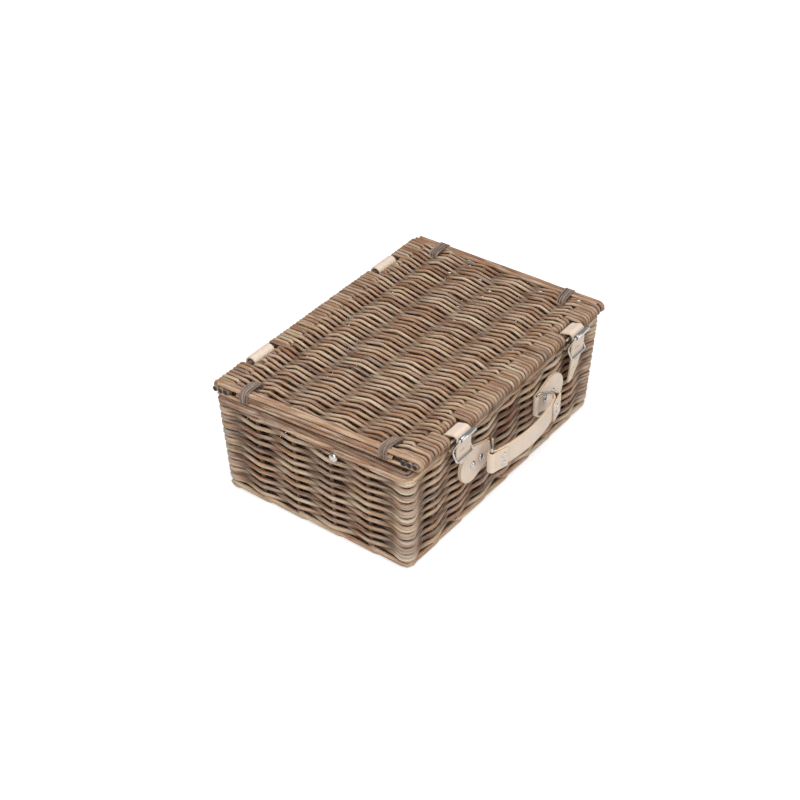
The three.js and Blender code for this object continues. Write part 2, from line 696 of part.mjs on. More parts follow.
// A ring in its own frame: the inner bar stands at the origin and the outer bar at y = -reach.
function handleRing() {
  const y = RING_REACH - 2 * RING_CORNER;
  const z = BAND_WIDTH / 2 + SEAT_GAP;
  const corners = [[-RING_CORNER, z], [-RING_CORNER - y, z], [-RING_CORNER - y, -z], [-RING_CORNER, -z]];
  const quarter = Math.PI / 2;
  const steps = ARC_STEPS / 2;
  const points = corners.flatMap(([cy, cz], i) => (
    arcPoints(cy, cz, RING_CORNER, i * quarter, (i + 1) * quarter, steps).map((p) => vec(0, p.x, p.y))
  ));
  return wireRing(points, RING_WIRE_RADIUS);
}

// The left loop turns close on its ring; the right one is looser, so that the band can swing sideways.
const LOOP_PLAY = { [-1]: TURN_GAP, [1]: LOOSE_PLAY };
const BAND_LOOP = RING_WIRE_RADIUS + LOOSE_PLAY + LOOP_LEATHER;
const BAND_CURVE = (BAND_PIVOT_X ** 2 + BAND_BOW ** 2) / (2 * BAND_BOW);
const BAND_CENTRE_Y = BAND_PIVOT_Y - BAND_BOW + BAND_CURVE;
const BAND_HALF_ANGLE = Math.asin(BAND_PIVOT_X / BAND_CURVE);
const FLAP_ANGLE = BAND_HALF_ANGLE - FLAP_LENGTH / BAND_CURVE;
const BAND_RIVET_ANGLE = BAND_HALF_ANGLE - BAND_RIVET_INSET / BAND_CURVE;
const BAND_OUTSIDE = BAND_CURVE + BAND_LEATHER / 2;
const BAND_INSIDE = BAND_CURVE - BAND_LEATHER / 2;

function handleBand() {
  const down = -Math.PI / 2;
  const arc = (radius, from, to, steps) => arcPoints(0, BAND_CENTRE_Y, radius, down + from, down + to, steps);
  const outline = new THREE.Shape([
    ...arc(BAND_OUTSIDE + FLAP_LEATHER, -BAND_HALF_ANGLE, -FLAP_ANGLE, ARC_STEPS / 2),
    ...arc(BAND_OUTSIDE, -FLAP_ANGLE, FLAP_ANGLE, 2 * ARC_STEPS),
    ...arc(BAND_OUTSIDE + FLAP_LEATHER, FLAP_ANGLE, BAND_HALF_ANGLE, ARC_STEPS / 2),
    ...arc(BAND_INSIDE, BAND_HALF_ANGLE, -BAND_HALF_ANGLE, 3 * ARC_STEPS),
  ]);
  const low = HANDLE_HEIGHT - BAND_WIDTH / 2;
  const high = HANDLE_HEIGHT + BAND_WIDTH / 2;
  const pieces = [slabZ(outline, low, high)];
  const tools = [];
  [-1, 1].forEach((side) => {
    const x = side * BAND_PIVOT_X;
    pieces.push(rod(vec(x, BAND_PIVOT_Y, low), vec(x, BAND_PIVOT_Y, high), BAND_LOOP));
    const bore = RING_WIRE_RADIUS + LOOP_PLAY[side];
    tools.push(rod(vec(x, BAND_PIVOT_Y, 0), vec(x, BAND_PIVOT_Y, BODY_HEIGHT), bore));
    [-1, 1].forEach((level) => {
      const z = HANDLE_HEIGHT + (level * BAND_RIVET_SPACING) / 2;
      const at = (radius) => bandPlace(radius, side * BAND_RIVET_ANGLE, z);
      const hole = BAND_RIVET_SHANK / 2 + SEAT_GAP;
      tools.push(rod(at(BAND_INSIDE - BAND_LOOP), at(BAND_OUTSIDE + BAND_LOOP), hole));
    });
  });
  return cut(join(...pieces), ...tools);
}

// A place on the bowed band, at a radius and an angle from its middle.
function bandPlace(radius, angle, z) {
  return vec(radius * Math.sin(angle), BAND_CENTRE_Y - radius * Math.cos(angle), z);
}

// A rivet along Y: a domed head below y = 0, a shank through the given depth and a flat burr behind it.
function rivet(head, dome, shank, depth, burr) {
  const rim = dome / 3;
  return turned([
    [0, -dome],
    [head / 4, -dome * 0.9],
    [head / 2 - rim / 2, -rim],
    [head / 2, 0],
    [shank / 2, 0],
    [shank / 2, depth],
    [burr / 2, depth],
    [burr / 2, depth + RIVET_BACK],
    [0, depth + RIVET_BACK],
  ]);
}

// Lid pieces are made in the lid's own frame, whose origin is level with the sticks

const HINGE_LEAN = (BORDER_Y - HINGE_BORDER_LOOP) - (HINGE_Y - HINGE_STICK_LOOP);
const HINGE_DROP = (LID_THICKNESS / 2) / (HINGE_Z - BORDER_HEIGHT);
const NOTCH_REACH = Math.max(HINGE_STICK_LOOP - Math.min(HINGE_LEAN, 0) * HINGE_DROP, STRAP_LOOP) + SEAT_GAP;
const STICK_HOLE = STICK_RADIUS + SEAT_GAP;
const SECOND_STICK = HINGE_Y - NOTCH_REACH - STICK_RIB - STICK_HOLE;
const THIRD_STICK = SECOND_STICK - 2 * STICK_HOLE;
const EDGE_STICKS = { outer: HINGE_Y, second: SECOND_STICK, third: THIRD_STICK };
const INNER_MIDDLE = (INNER_STICKS - 1) / 2;
const INNER_PLACES = Array.from({ length: INNER_STICKS }, (_, i) => (i - INNER_MIDDLE) * INNER_STICK_PITCH);
const FIELD_EDGE = THIRD_STICK - STICK_HOLE;
const TIE_Y = (THIRD_STICK + INNER_MIDDLE * INNER_STICK_PITCH) / 2;
const END_ROD_X = LID_LENGTH / 2 - END_ROD_RADIUS;
const END_ROD_Z = STICK_RADIUS + SEAT_GAP + END_ROD_RADIUS;

// The lid is woven out of square: its front left corner lies inwards, and all its pieces follow that corner.
function lidShift(x, y) {
  return LID_SKEW * (0.5 - x / LID_LENGTH) * (0.5 - y / LID_WIDTH);
}

function skewed(geometry) {
  const places = geometry.getAttribute('position');
  for (let i = 0; i < places.count; i += 1) {
    places.setX(i, places.getX(i) + lidShift(places.getX(i), places.getY(i)));
  }
  geometry.computeVertexNormals();
  return geometry;
}

// Where a place on the finished lid lies before the lid is skewed.
function unskewed(x, y) {
  const share = LID_SKEW * (0.5 - y / LID_WIDTH);
  return (x - share / 2) / (1 - share / LID_LENGTH);
}

function lidStick(y, radius = STICK_RADIUS) {
  return crossRod(LID_LENGTH / 2, y, 0, radius);
}

// A whipping: a closed band round the end rod and the end of the weave.
function lidTie(side, grow) {
  const outer = LID_LENGTH / 2 + SEAT_GAP;
  const inner = LID_LENGTH / 2 - TIE_REACH + TIE_THICKNESS;
  const low = -LID_THICKNESS / 2 + SEAT_GAP + TIE_THICKNESS;
  const highOuter = END_ROD_Z + END_ROD_RADIUS + 2 * SEAT_GAP;
  const highInner = LID_THICKNESS / 2 + SEAT_GAP;
  const contour = (out) => [
    new THREE.Vector2(inner - out, low - out),
    new THREE.Vector2(outer + out, low - out),
    new THREE.Vector2(outer + out, highOuter + out),
    new THREE.Vector2(inner - out, highInner + out),
  ];
  const band = new THREE.Shape(contour(TIE_THICKNESS + grow));
  band.holes.push(new THREE.Path(contour(-grow)));
  const half = TIE_WIDTH / 2 + grow;
  const geometry = slabY(band, -half, half);
  return side > 0 ? geometry : geometry.rotateZ(Math.PI);
}

function lidNotch(x, width, sideY) {
  const half = width / 2 + NOTCH_GAP;
  const near = sideY * (HINGE_Y - NOTCH_REACH);
  const far = sideY * LID_WIDTH;
  return block(
    vec(unskewed(x - half, sideY * HINGE_Y), Math.min(near, far), -LID_THICKNESS),
    vec(unskewed(x + half, sideY * HINGE_Y), Math.max(near, far), LID_THICKNESS),
  );
}

// A rounded edge of the lid round its outer stick, on the side of -Y or +Y.
function lidEdge(side, width) {
  const half = LID_THICKNESS / 2;
  const inner = side * (FIELD_EDGE - STICK_RIB);
  return slabX(new THREE.Shape([
    ...arcPoints(side * HINGE_Y, 0, side * half, -Math.PI / 2, Math.PI / 2),
    new THREE.Vector2(inner, side * half),
    new THREE.Vector2(inner, -side * half),
  ]), width);
}

// The woven field between the lid's edges, with one outline for each weaver.
function lidField(width) {
  const top = LID_THICKNESS / 2;
  const coverDepth = top - STICK_HOLE - ROD_COVER;
  const levels = rowLevels(-width / 2, width / 2, LID_WEAVERS);
  const surface = (row) => rowRelief(INNER_PLACES, row, coverDepth).reverse();
  const outlines = levels.map(({ row }) => [
    new THREE.Vector2(-FIELD_EDGE, SEAT_GAP - top),
    new THREE.Vector2(FIELD_EDGE, SEAT_GAP - top),
    new THREE.Vector2(FIELD_EDGE, top - SWELL_FALL),
    ...surface(row).map(([y, depth]) => new THREE.Vector2(y, top - depth)),
    new THREE.Vector2(-FIELD_EDGE, top - SWELL_FALL),
  ]);
  return alongX(loft(outlines, levels.map(({ at }) => at)));
}

function lidWeave() {
  const width = LID_LENGTH - 2 * (END_ROD_DIAMETER + SEAT_GAP);
  const panel = join(lidField(width), lidEdge(-1, width), lidEdge(1, width));
  const tools = [];
  [-1, 1].forEach((side) => {
    Object.values(EDGE_STICKS).forEach((y) => tools.push(lidStick(side * y, STICK_HOLE)));
    tools.push(lidNotch(side * HINGE_X, HINGE_WIDTH, 1));
    tools.push(lidNotch(strapX(side), STRAP_WIDTH, -1));
    [-1, 1].forEach((sideY) => tools.push(lidTie(side, SEAT_GAP).translate(0, sideY * TIE_Y, 0)));
  });
  INNER_PLACES.forEach((y) => tools.push(lidStick(y, STICK_HOLE)));
  return cut(panel, ...tools);
}

// Assembly

const SIDES = { left: -1, right: 1 };

function wallHole(x, z) {
  return rod(vec(x, -RIM_WIDTH, z), vec(x, 0, z), TAB_RIVET_SHANK / 2 + SEAT_GAP);
}

function tabRivetX(side, place) {
  return side * (RING_PIVOT_X + place);
}

const frontCuts = Object.values(SIDES).flatMap((side) => [
  chapeNotch(side),
  ...Object.values(TAB_RIVETS).map((place) => wallHole(tabRivetX(side, place), HANDLE_HEIGHT)),
]);
const studHole = rod(
  vec(-RIM_LENGTH, -STUD_FORWARD, STUD_HEIGHT),
  vec(0, -STUD_FORWARD, STUD_HEIGHT),
  TAB_RIVET_SHANK / 2 + SEAT_GAP,
);
const wallCuts = {
  front: frontCuts,
  right: [],
  back: Object.values(SIDES).map(hingeNotch),
  left: [studHole],
};

addPiece(hamper, 'base_weave', baseWeave(), willow(WEAVE));
addPiece(hamper, 'foot_border', footBorder(), willow(STAKE));
Object.entries(WALLS).forEach(([name, wall]) => {
  addPiece(hamper, `wall_weave_${name}`, wallWeave(wall, wallCuts[name]), willow(WEAVE));
  addPiece(hamper, `stakes_and_border_${name}`, stakesAndBorder(wall), willow(STAKE));
});
Object.entries(SIDES).forEach(([name, side]) => {
  [['front', -1], ['back', 1]].forEach(([end, sideY]) => {
    const post = cornerPost(side, sideY, WALL_BOTTOM, POST_TOP, POST_RADIUS);
    addPiece(hamper, `corner_post_${end}_${name}`, post, willow(STAKE));
  });
});

// Stud in the left end wall
const studLean = halfLength(STUD_HEIGHT + STUD_HEAD / 2) - halfLength(STUD_HEIGHT - STUD_HEAD / 2);
const studDepth = WALL_THICKNESS + studLean + 2 * SEAT_GAP;
const stud = addPiece(
  hamper,
  'end_stud',
  rivet(STUD_HEAD, STUD_DOME, TAB_RIVET_SHANK, studDepth, STUD_HEAD),
  nickel(),
);
stud.position.set(-(halfLength(STUD_HEIGHT + STUD_HEAD / 2) + SEAT_GAP), -STUD_FORWARD, STUD_HEIGHT);
stud.rotation.z = -Math.PI / 2;

Object.entries(SIDES).forEach(([name, side]) => {
  const hinge = addPiece(hamper, `hinge_loop_${name}`, hingeLoop(), leather());
  hinge.position.x = side * HINGE_X;

  const buckle = new THREE.Group();
  buckle.position.x = strapX(side);
  hamper.add(buckle);
  addPiece(buckle, `buckle_chape_${name}`, buckleChape(), leather());
  addPiece(buckle, `buckle_frame_${name}`, buckleFrame(), nickel());
  addPiece(buckle, `buckle_prong_${name}`, buckleProng(), nickel());
  const roller = addPiece(buckle, `buckle_roller_${name}`, buckleRoller(), nickel());
  roller.position.set(0, ROLLER_Y, ROLLER_Z);

  const mounting = new THREE.Group();
  mounting.position.set(side * RING_PIVOT_X, RING_PIVOT_Y, HANDLE_HEIGHT);
  hamper.add(mounting);
  addPiece(mounting, `handle_tab_${name}`, handleTab(side), leather());
  const ring = addPiece(mounting, `handle_ring_${name}`, handleRing(), nickel());
  ring.rotation.z = side * SPLAY;
  const front = TAB_LOOP - TAB_THICKNESS - SEAT_GAP;
  const wallSlack = -TAB_BACK - halfWidth(HANDLE_HEIGHT - TAB_RIVET_HEAD / 2);
  const depth = TAB_THICKNESS + wallSlack + WALL_THICKNESS + 2 * SEAT_GAP;
  Object.entries(TAB_RIVETS).forEach(([place, x]) => {
    const fastener = rivet(TAB_RIVET_HEAD, TAB_RIVET_DOME, TAB_RIVET_SHANK, depth, TAB_RIVET_HEAD);
    const mesh = addPiece(mounting, `tab_rivet_${name}_${place}`, fastener, nickel());
    mesh.position.set(side * x, front, 0);
  });
});

// Leather band of the handle, with two rivets through each folded end
addPiece(hamper, 'handle_band', handleBand(), leather());
Object.entries(SIDES).forEach(([name, side]) => {
  [['lower', -1], ['upper', 1]].forEach(([place, level]) => {
    const depth = BAND_LEATHER + FLAP_LEATHER + 2 * SEAT_GAP;
    const fastener = rivet(BAND_RIVET_HEAD, BAND_RIVET_DOME, BAND_RIVET_SHANK, depth, BAND_RIVET_HEAD);
    const mesh = addPiece(hamper, `band_rivet_${name}_${place}`, fastener, nickel());
    const z = HANDLE_HEIGHT + (level * BAND_RIVET_SPACING) / 2;
    mesh.position.copy(bandPlace(BAND_OUTSIDE + FLAP_LEATHER + SEAT_GAP, side * BAND_RIVET_ANGLE, z));
    mesh.rotation.z = side * BAND_RIVET_ANGLE;
  });
});

// Lid
const lid = new THREE.Group();
lid.position.z = HINGE_Z;
hamper.add(lid);
addPiece(lid, 'lid_weave', skewed(lidWeave()), willow(WEAVE));
[['front', -1], ['back', 1]].forEach(([end, sideY]) => {
  Object.entries(EDGE_STICKS).forEach(([place, y]) => {
    addPiece(lid, `lid_stick_${end}_${place}`, skewed(lidStick(sideY * y)), willow(STAKE));
  });
});
INNER_PLACES.forEach((y, i) => (
  addPiece(lid, `lid_stick_inner_${i + 1}`, skewed(lidStick(y)), willow(STAKE))
));
Object.entries(SIDES).forEach(([name, side]) => {
  const half = LID_WIDTH / 2 - END_ROD_SHORT;
  const x = side * END_ROD_X;
  const endRod = rod(vec(x, -half, END_ROD_Z), vec(x, half, END_ROD_Z), END_ROD_RADIUS);
  addPiece(lid, `lid_end_rod_${name}`, skewed(endRod), willow(STAKE));
  [['front', -1], ['back', 1]].forEach(([end, sideY]) => {
    const tie = lidTie(side, 0).translate(0, sideY * TIE_Y, 0);
    addPiece(lid, `lid_tie_${end}_${name}`, skewed(tie), willow(TIE));
  });
  const strap = addPiece(hamper, `lid_strap_${name}`, lidStrap(TAIL_HEIGHTS[name]), leather());
  strap.position.x = strapX(side);
});

export default hamper;
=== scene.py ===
import json
import math

import bmesh
import bpy
import numpy as np
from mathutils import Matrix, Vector


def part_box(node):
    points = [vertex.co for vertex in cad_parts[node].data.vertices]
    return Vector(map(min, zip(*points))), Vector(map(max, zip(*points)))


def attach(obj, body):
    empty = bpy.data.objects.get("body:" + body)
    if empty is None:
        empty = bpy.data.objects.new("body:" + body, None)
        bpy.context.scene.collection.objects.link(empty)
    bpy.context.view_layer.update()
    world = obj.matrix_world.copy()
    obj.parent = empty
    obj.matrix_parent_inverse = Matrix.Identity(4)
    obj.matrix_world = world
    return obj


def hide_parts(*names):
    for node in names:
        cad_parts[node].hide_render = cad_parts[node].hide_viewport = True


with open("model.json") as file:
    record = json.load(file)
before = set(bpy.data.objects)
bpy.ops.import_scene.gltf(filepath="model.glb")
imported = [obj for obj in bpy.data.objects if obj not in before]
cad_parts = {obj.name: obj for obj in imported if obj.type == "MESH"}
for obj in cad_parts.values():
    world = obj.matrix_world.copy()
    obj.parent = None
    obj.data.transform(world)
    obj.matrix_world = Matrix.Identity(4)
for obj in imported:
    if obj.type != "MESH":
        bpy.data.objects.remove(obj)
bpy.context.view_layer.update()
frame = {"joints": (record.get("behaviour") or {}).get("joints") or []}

bl_info = {
    "name": "Willow Picnic Hamper",
    "version": (1, 0, 0),
    "blender": (4, 5, 0),
    "location": "View3D > Sidebar > Hamper",
    "description": "Weaves the willow and makes the leather and nickel fittings of a picnic hamper",
    "category": "Object",
}

X_AXIS, Y_AXIS, Z_AXIS = np.eye(3)
SIDES = {"left": -1, "right": 1}
ENDS = {"front": -1, "back": 1}
WALLS = ("front", "right", "back", "left")


def box_corners(node):
    """The lowest and the highest corner of a solid, in metres."""
    low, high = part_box(node)
    return np.array(low, float), np.array(high, float)


def box_middle(node):
    """The middle of a solid's box."""
    low, high = box_corners(node)
    return (low + high) / 2


def box_size(node):
    """The lengths of a solid's box."""
    low, high = box_corners(node)
    return high - low


def joint_place(name):
    """The point that a joint turns about."""
    return np.array(next(j["pos_m"] for j in frame["joints"] if j["name"] == name))


# Places and sizes that the solids give

LID_TURN = joint_place("lid_hinge")[1:]
LID_EDGE, LID_LEVEL = LID_TURN
LID_LENGTH = 2 * box_corners("lid_stick_back_outer")[1][0]
LID_WIDTH = box_size("lid_weave")[1]
LID_SKEW = box_corners("lid_stick_front_outer")[0][0] - box_corners("lid_stick_back_outer")[0][0]
LID_SLANT = LID_SKEW / (2 * LID_EDGE)
SECOND_STICK = box_middle("lid_stick_back_second")[1]
THIRD_STICK = box_middle("lid_stick_back_third")[1]
INNER_STICKS = [box_middle(f"lid_stick_inner_{i}")[1] for i in range(1, 5)]
STICK_RADIUS = box_size("lid_stick_inner_1")[2] / 2
HINGE_X = box_middle("hinge_loop_right")[0]
STRAP_PLACES = {side: box_middle(f"lid_strap_{side}")[0] for side in SIDES}
STRAP_FRONT = box_corners("lid_strap_right")[0][1]
HANDLE_PIVOT = joint_place("handle_swing")


def slanted(path):
    """Points of the lid moved with its front left corner, which lies inwards."""
    path = np.array(path, float)
    path[:, 0] += LID_SLANT * (LID_WIDTH / 2 - path[:, 1]) * (0.5 - path[:, 0] / LID_LENGTH)
    return path


def srgb(red, green, blue):
    """A colour seen on a screen, 0 to 255, as linear light."""
    def linear(value):
        value /= 255
        return value / 12.92 if value <= 0.04045 else ((value + 0.055) / 1.055) ** 2.4
    return (linear(red), linear(green), linear(blue))


def length(label, text, value):
    """A size in metres that a user may change."""
    return bpy.props.FloatProperty(
        name=label, description=text, default=value, min=0.0, unit="LENGTH", precision=4
    )


def number(label, text, value):
    """A number of rods that a user may change."""
    return bpy.props.IntProperty(name=label, description=text, default=value, min=1)


def colour(label, text, value):
    """A colour that a user may change."""
    return bpy.props.FloatVectorProperty(
        name=label, description=text, default=value, size=3, min=0.0, max=1.0, subtype="COLOR"
    )


class HamperBasketSizes(bpy.types.PropertyGroup):
    """Sizes of the basket's rods"""
    rim_length: length("Rim length", "Length of the basket at its rim", 0.364)
    rim_width: length("Rim width", "Width of the basket at its rim", 0.246)
    height: length("Height", "Height of the basket without its lid", 0.122)
    end_lean: length("End lean", "How far each end wall leans out from foot to rim", 0.007)
    side_lean: length("Side lean", "How far the front and back lean out from foot to rim", 0.0045)
    wall_depth: length("Wall depth", "Thickness of the woven wall", 0.011)
    corner: length("Corner bend", "Radius at which the middle of the wall turns a corner", 0.0042)
    row_pitch: length("Row pitch", "Height of one row of the wall weave", 0.004995)
    first_row: length("First row", "Height of the lowest row's middle", 0.0118)
    rows: number("Rows", "Rows in the wall weave", 21)
    weaver: length("Wall weaver", "Diameter of a rod in the wall weave", 0.0044)
    swing: length("Swing", "How far a wall weaver swings out from the middle of the wall", 0.0041)
    post_swing: length("Post swing", "How far a wall weaver swings out round a corner post", 0.0035)
    post_lead: length("Post lead", "Distance before a post at which the weavers turn out", 0.018)
    stake: length("Stake", "Diameter of an upright stake", 0.0050)
    post: length("Corner post", "Diameter of a corner post", 0.0062)
    side_stakes: number("Side stakes", "Stakes in the front wall", 7)
    end_stakes: number("End stakes", "Stakes in an end wall", 4)
    rim_rod: length("Rim rod", "Diameter of a stake that is turned down into the rim", 0.0042)
    rim_core: length("Rim core", "Diameter of the plain rods inside the rim", 0.0044)
    foot_rod: length("Foot rod", "Diameter of a rod of the foot border", 0.0054)
    foot_core: length("Foot core", "Diameter of the plain rods inside the foot", 0.0048)
    base_stick: length("Base stick", "Diameter of a stick along the base", 0.0042)
    base_weaver: length("Base weaver", "Diameter of a rod woven across the base", 0.00416)
    base_pitch: length("Base pitch", "Distance from one base weaver to the next", 0.0033)


class HamperLidSizes(bpy.types.PropertyGroup):
    """Sizes of the lid's rods"""
    weavers: number("Weavers", "Rods woven across the lid", 96)
    weaver: length("Lid weaver", "Diameter of a rod in the lid weave", 0.0035)
    edge_weaver: length("Edge weaver", "Diameter of a rod where it goes over the lid's edge", 0.0040)
    swing: length("Swing", "How far a lid weaver rises over a stick", 0.0050)
    tie_strand: length("Tie strand", "Diameter of a strand of the end ties", 0.0025)
    tie_pitch: length("Tie pitch", "Distance from one strand of a tie to the next", 0.0028)
    tie_strands: number("Tie strands", "Strands in an end tie", 4)
    end_rod: length("End rod", "Diameter of the rods at the short ends", 0.0046)


class HamperFittingSizes(bpy.types.PropertyGroup):
    """Sizes of the leather and metal fittings"""
    strap: length("Strap", "Thickness of the strap leather", 0.0024)
    hinge: length("Hinge", "Thickness of the hinge loops", 0.0020)
    tab: length("Tab", "Thickness of one leaf of a handle tab", 0.0021)
    band: length("Handle", "Thickness of the handle band", 0.0034)
    flap: length("Handle end", "Thickness of the folded ends of the handle", 0.0022)
    band_bow: length("Handle bow", "How far the handle bows out from ring to ring", 0.010)
    chape: length("Chape", "Thickness of the leather that holds a buckle", 0.0016)
    hole: length("Strap hole", "Diameter of a punched hole", 0.0030)
    buckle_wire: length("Buckle wire", "Diameter of a buckle's wire", 0.00216)
    prong_wire: length("Prong wire", "Diameter of a prong", 0.0017)
    ring_wire: length("Ring wire", "Diameter of the handle rings' wire", 0.0025)
    tab_rivet: length("Tab rivet", "Diameter of a tab rivet's head", 0.0084)
    band_rivet: length("Handle rivet", "Diameter of a handle rivet's head", 0.0060)
    stud: length("Stud", "Diameter of the stud's head", 0.0100)


class HamperFinishes(bpy.types.PropertyGroup):
    """Colours of the willow, leather and metal"""
    willow_dark: colour("Dark willow", "Darkest rods", srgb(104, 74, 56))
    willow_red: colour("Red willow", "Reddish brown rods", srgb(160, 116, 86))
    willow_tan: colour("Tan willow", "Most of the rods", srgb(186, 148, 114))
    willow_pale: colour("Pale willow", "Lightest rods", srgb(208, 182, 148))
    wash: colour("Wash", "Whitish wash over the willow", srgb(212, 200, 184))
    cut_end: colour("Cut ends", "Sawn ends of the rods", srgb(50, 52, 57))
    tie: colour("Ties", "Split willow of the end ties", srgb(124, 104, 92))
    leather: colour("Leather", "Pale leather", srgb(224, 205, 187))
    leather_edge: colour("Leather edge", "Cut edge of the leather", srgb(206, 180, 152))
    # Painted shade: the nickel's colour is given darker than bright plate, so that its reflections look
    # dim, as from darker surroundings.
    nickel: colour("Nickel", "Bright nickel plate", (0.48, 0.47, 0.455))


# Lines


def unit(vectors):
    """Vectors made one long."""
    return vectors / np.linalg.norm(vectors, axis=-1, keepdims=True)


def heading(path, closed=False):
    """The direction of a path at each of its points."""
    return unit(np.roll(path, -1, 0) - np.roll(path, 1, 0) if closed else np.gradient(path, axis=0))


def travel(path):
    """How far along a path each of its points lies."""
    return np.concatenate([[0], np.cumsum(np.linalg.norm(np.diff(path, axis=0), axis=1))])


def columns(*values):
    """Points from their coordinates. Each is a number or one number for each point."""
    return np.stack(np.broadcast_arrays(*values), axis=-1)


def arc(middle, radius, start, end, steps):
    """Points on an arc in a plane, angles in degrees."""
    turn = np.radians(np.linspace(start, end, steps))
    return columns(middle[0] + radius * np.cos(turn), middle[1] + radius * np.sin(turn))


def rounded_line(points, radius, steps=6):
    """A line through points in a plane, with its inner corners rounded."""
    most = 0.48
    points = [np.array(p, float) for p in points]
    line = [points[0][None]]
    t = np.linspace(0, 1, steps)[:, None]
    for before, corner, after in zip(points, points[1:], points[2:]):
        sizes = [np.linalg.norm(other - corner) for other in (before, after)]
        reach = min(radius, most * sizes[0], most * sizes[1])
        start = corner + (before - corner) / sizes[0] * reach
        end = corner + (after - corner) / sizes[1] * reach
        line.append((1 - t) ** 2 * start + 2 * t * (1 - t) * corner + t ** 2 * end)
    line.append(points[-1][None])
    return np.vstack(line)


def evenly(line, step, closed=False):
    """A line of points taken again at even steps."""
    line = np.asarray(line, float)
    if closed:
        line = np.vstack([line, line[:1]])
    along = travel(line)
    want = np.linspace(0, along[-1], max(3, int(round(along[-1] / step)) + 1))
    if closed:
        want = want[:-1]
    return columns(*[np.interp(want, along, values) for values in line.T])


def in_plane(points, plane, level=0.0):
    """Points of a plane as points in space. The plane is named by its two axes."""
    space = np.full((len(points), 3), float(level))
    for axis, values in zip(plane, np.transpose(points)):
        space[:, "xyz".index(axis)] = values
    return space


def weave(phase, sharp=0.9):
    """A rod's way past uprights: out at even numbers, in at odd ones, nearly straight between."""
    return np.arcsin(sharp * np.cos(math.pi * phase)) / math.asin(sharp)


def slow_noise(random, s, step, amount):
    """A smooth wander along a rod."""
    knots = np.arange(s.min() - step, s.max() + 2 * step, step)
    return np.interp(s, knots, random.uniform(-amount, amount, len(knots)))


def fade(values, reach):
    """1 at zero, falling to 0 at a reach."""
    return np.clip(1 - values / reach, 0, 1)


# Meshes


def make_object(name, points, faces, looks, marks=None, values=None):
    """A mesh object from points and faces.

    Looks names its finishes, and marks picks one of them for each face. Only faces of the first are smooth.
    Values are named numbers or vectors for each point.
    """
    mesh = bpy.data.meshes.new(name)
    mesh.from_pydata([tuple(p) for p in points], [], faces)
    for look in looks:
        mesh.materials.append(finish(look))
    marks = np.zeros(len(faces), np.int32) if marks is None else np.array(marks, np.int32)
    mesh.polygons.foreach_set("material_index", marks)
    mesh.polygons.foreach_set("use_smooth", marks == 0)
    for key, data in (values or {}).items():
        data = np.asarray(data, np.float32)
        kind, field = ("FLOAT_VECTOR", "vector") if data.ndim == 2 else ("FLOAT", "value")
        mesh.attributes.new(key, kind, "POINT").data.foreach_set(field, data.ravel())
    mesh.update()
    piece = bpy.data.objects.new(name, mesh)
    bpy.context.scene.collection.objects.link(piece)
    return piece


def place(piece, body, slot, *nodes):
    """Ties a finished piece to its body and hides the solids that it stands for. The slot is not used."""
    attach(piece, body)
    if nodes:
        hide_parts(*nodes)


def face_outwards(piece):
    """Turns every face of a closed piece outwards."""
    work = bmesh.new()
    work.from_mesh(piece.data)
    bmesh.ops.recalc_face_normals(work, faces=work.faces)
    work.to_mesh(piece.data)
    work.free()
    return piece


def ring_faces(rings, sides, closed):
    """Faces between each ring of points and the next."""
    i, k = np.meshgrid(np.arange(rings if closed else rings - 1), np.arange(sides), indexing="ij")
    j, m = (i + 1) % rings, (k + 1) % sides
    return columns(i * sides + k, j * sides + k, j * sides + m, i * sides + m).reshape(-1, 4)


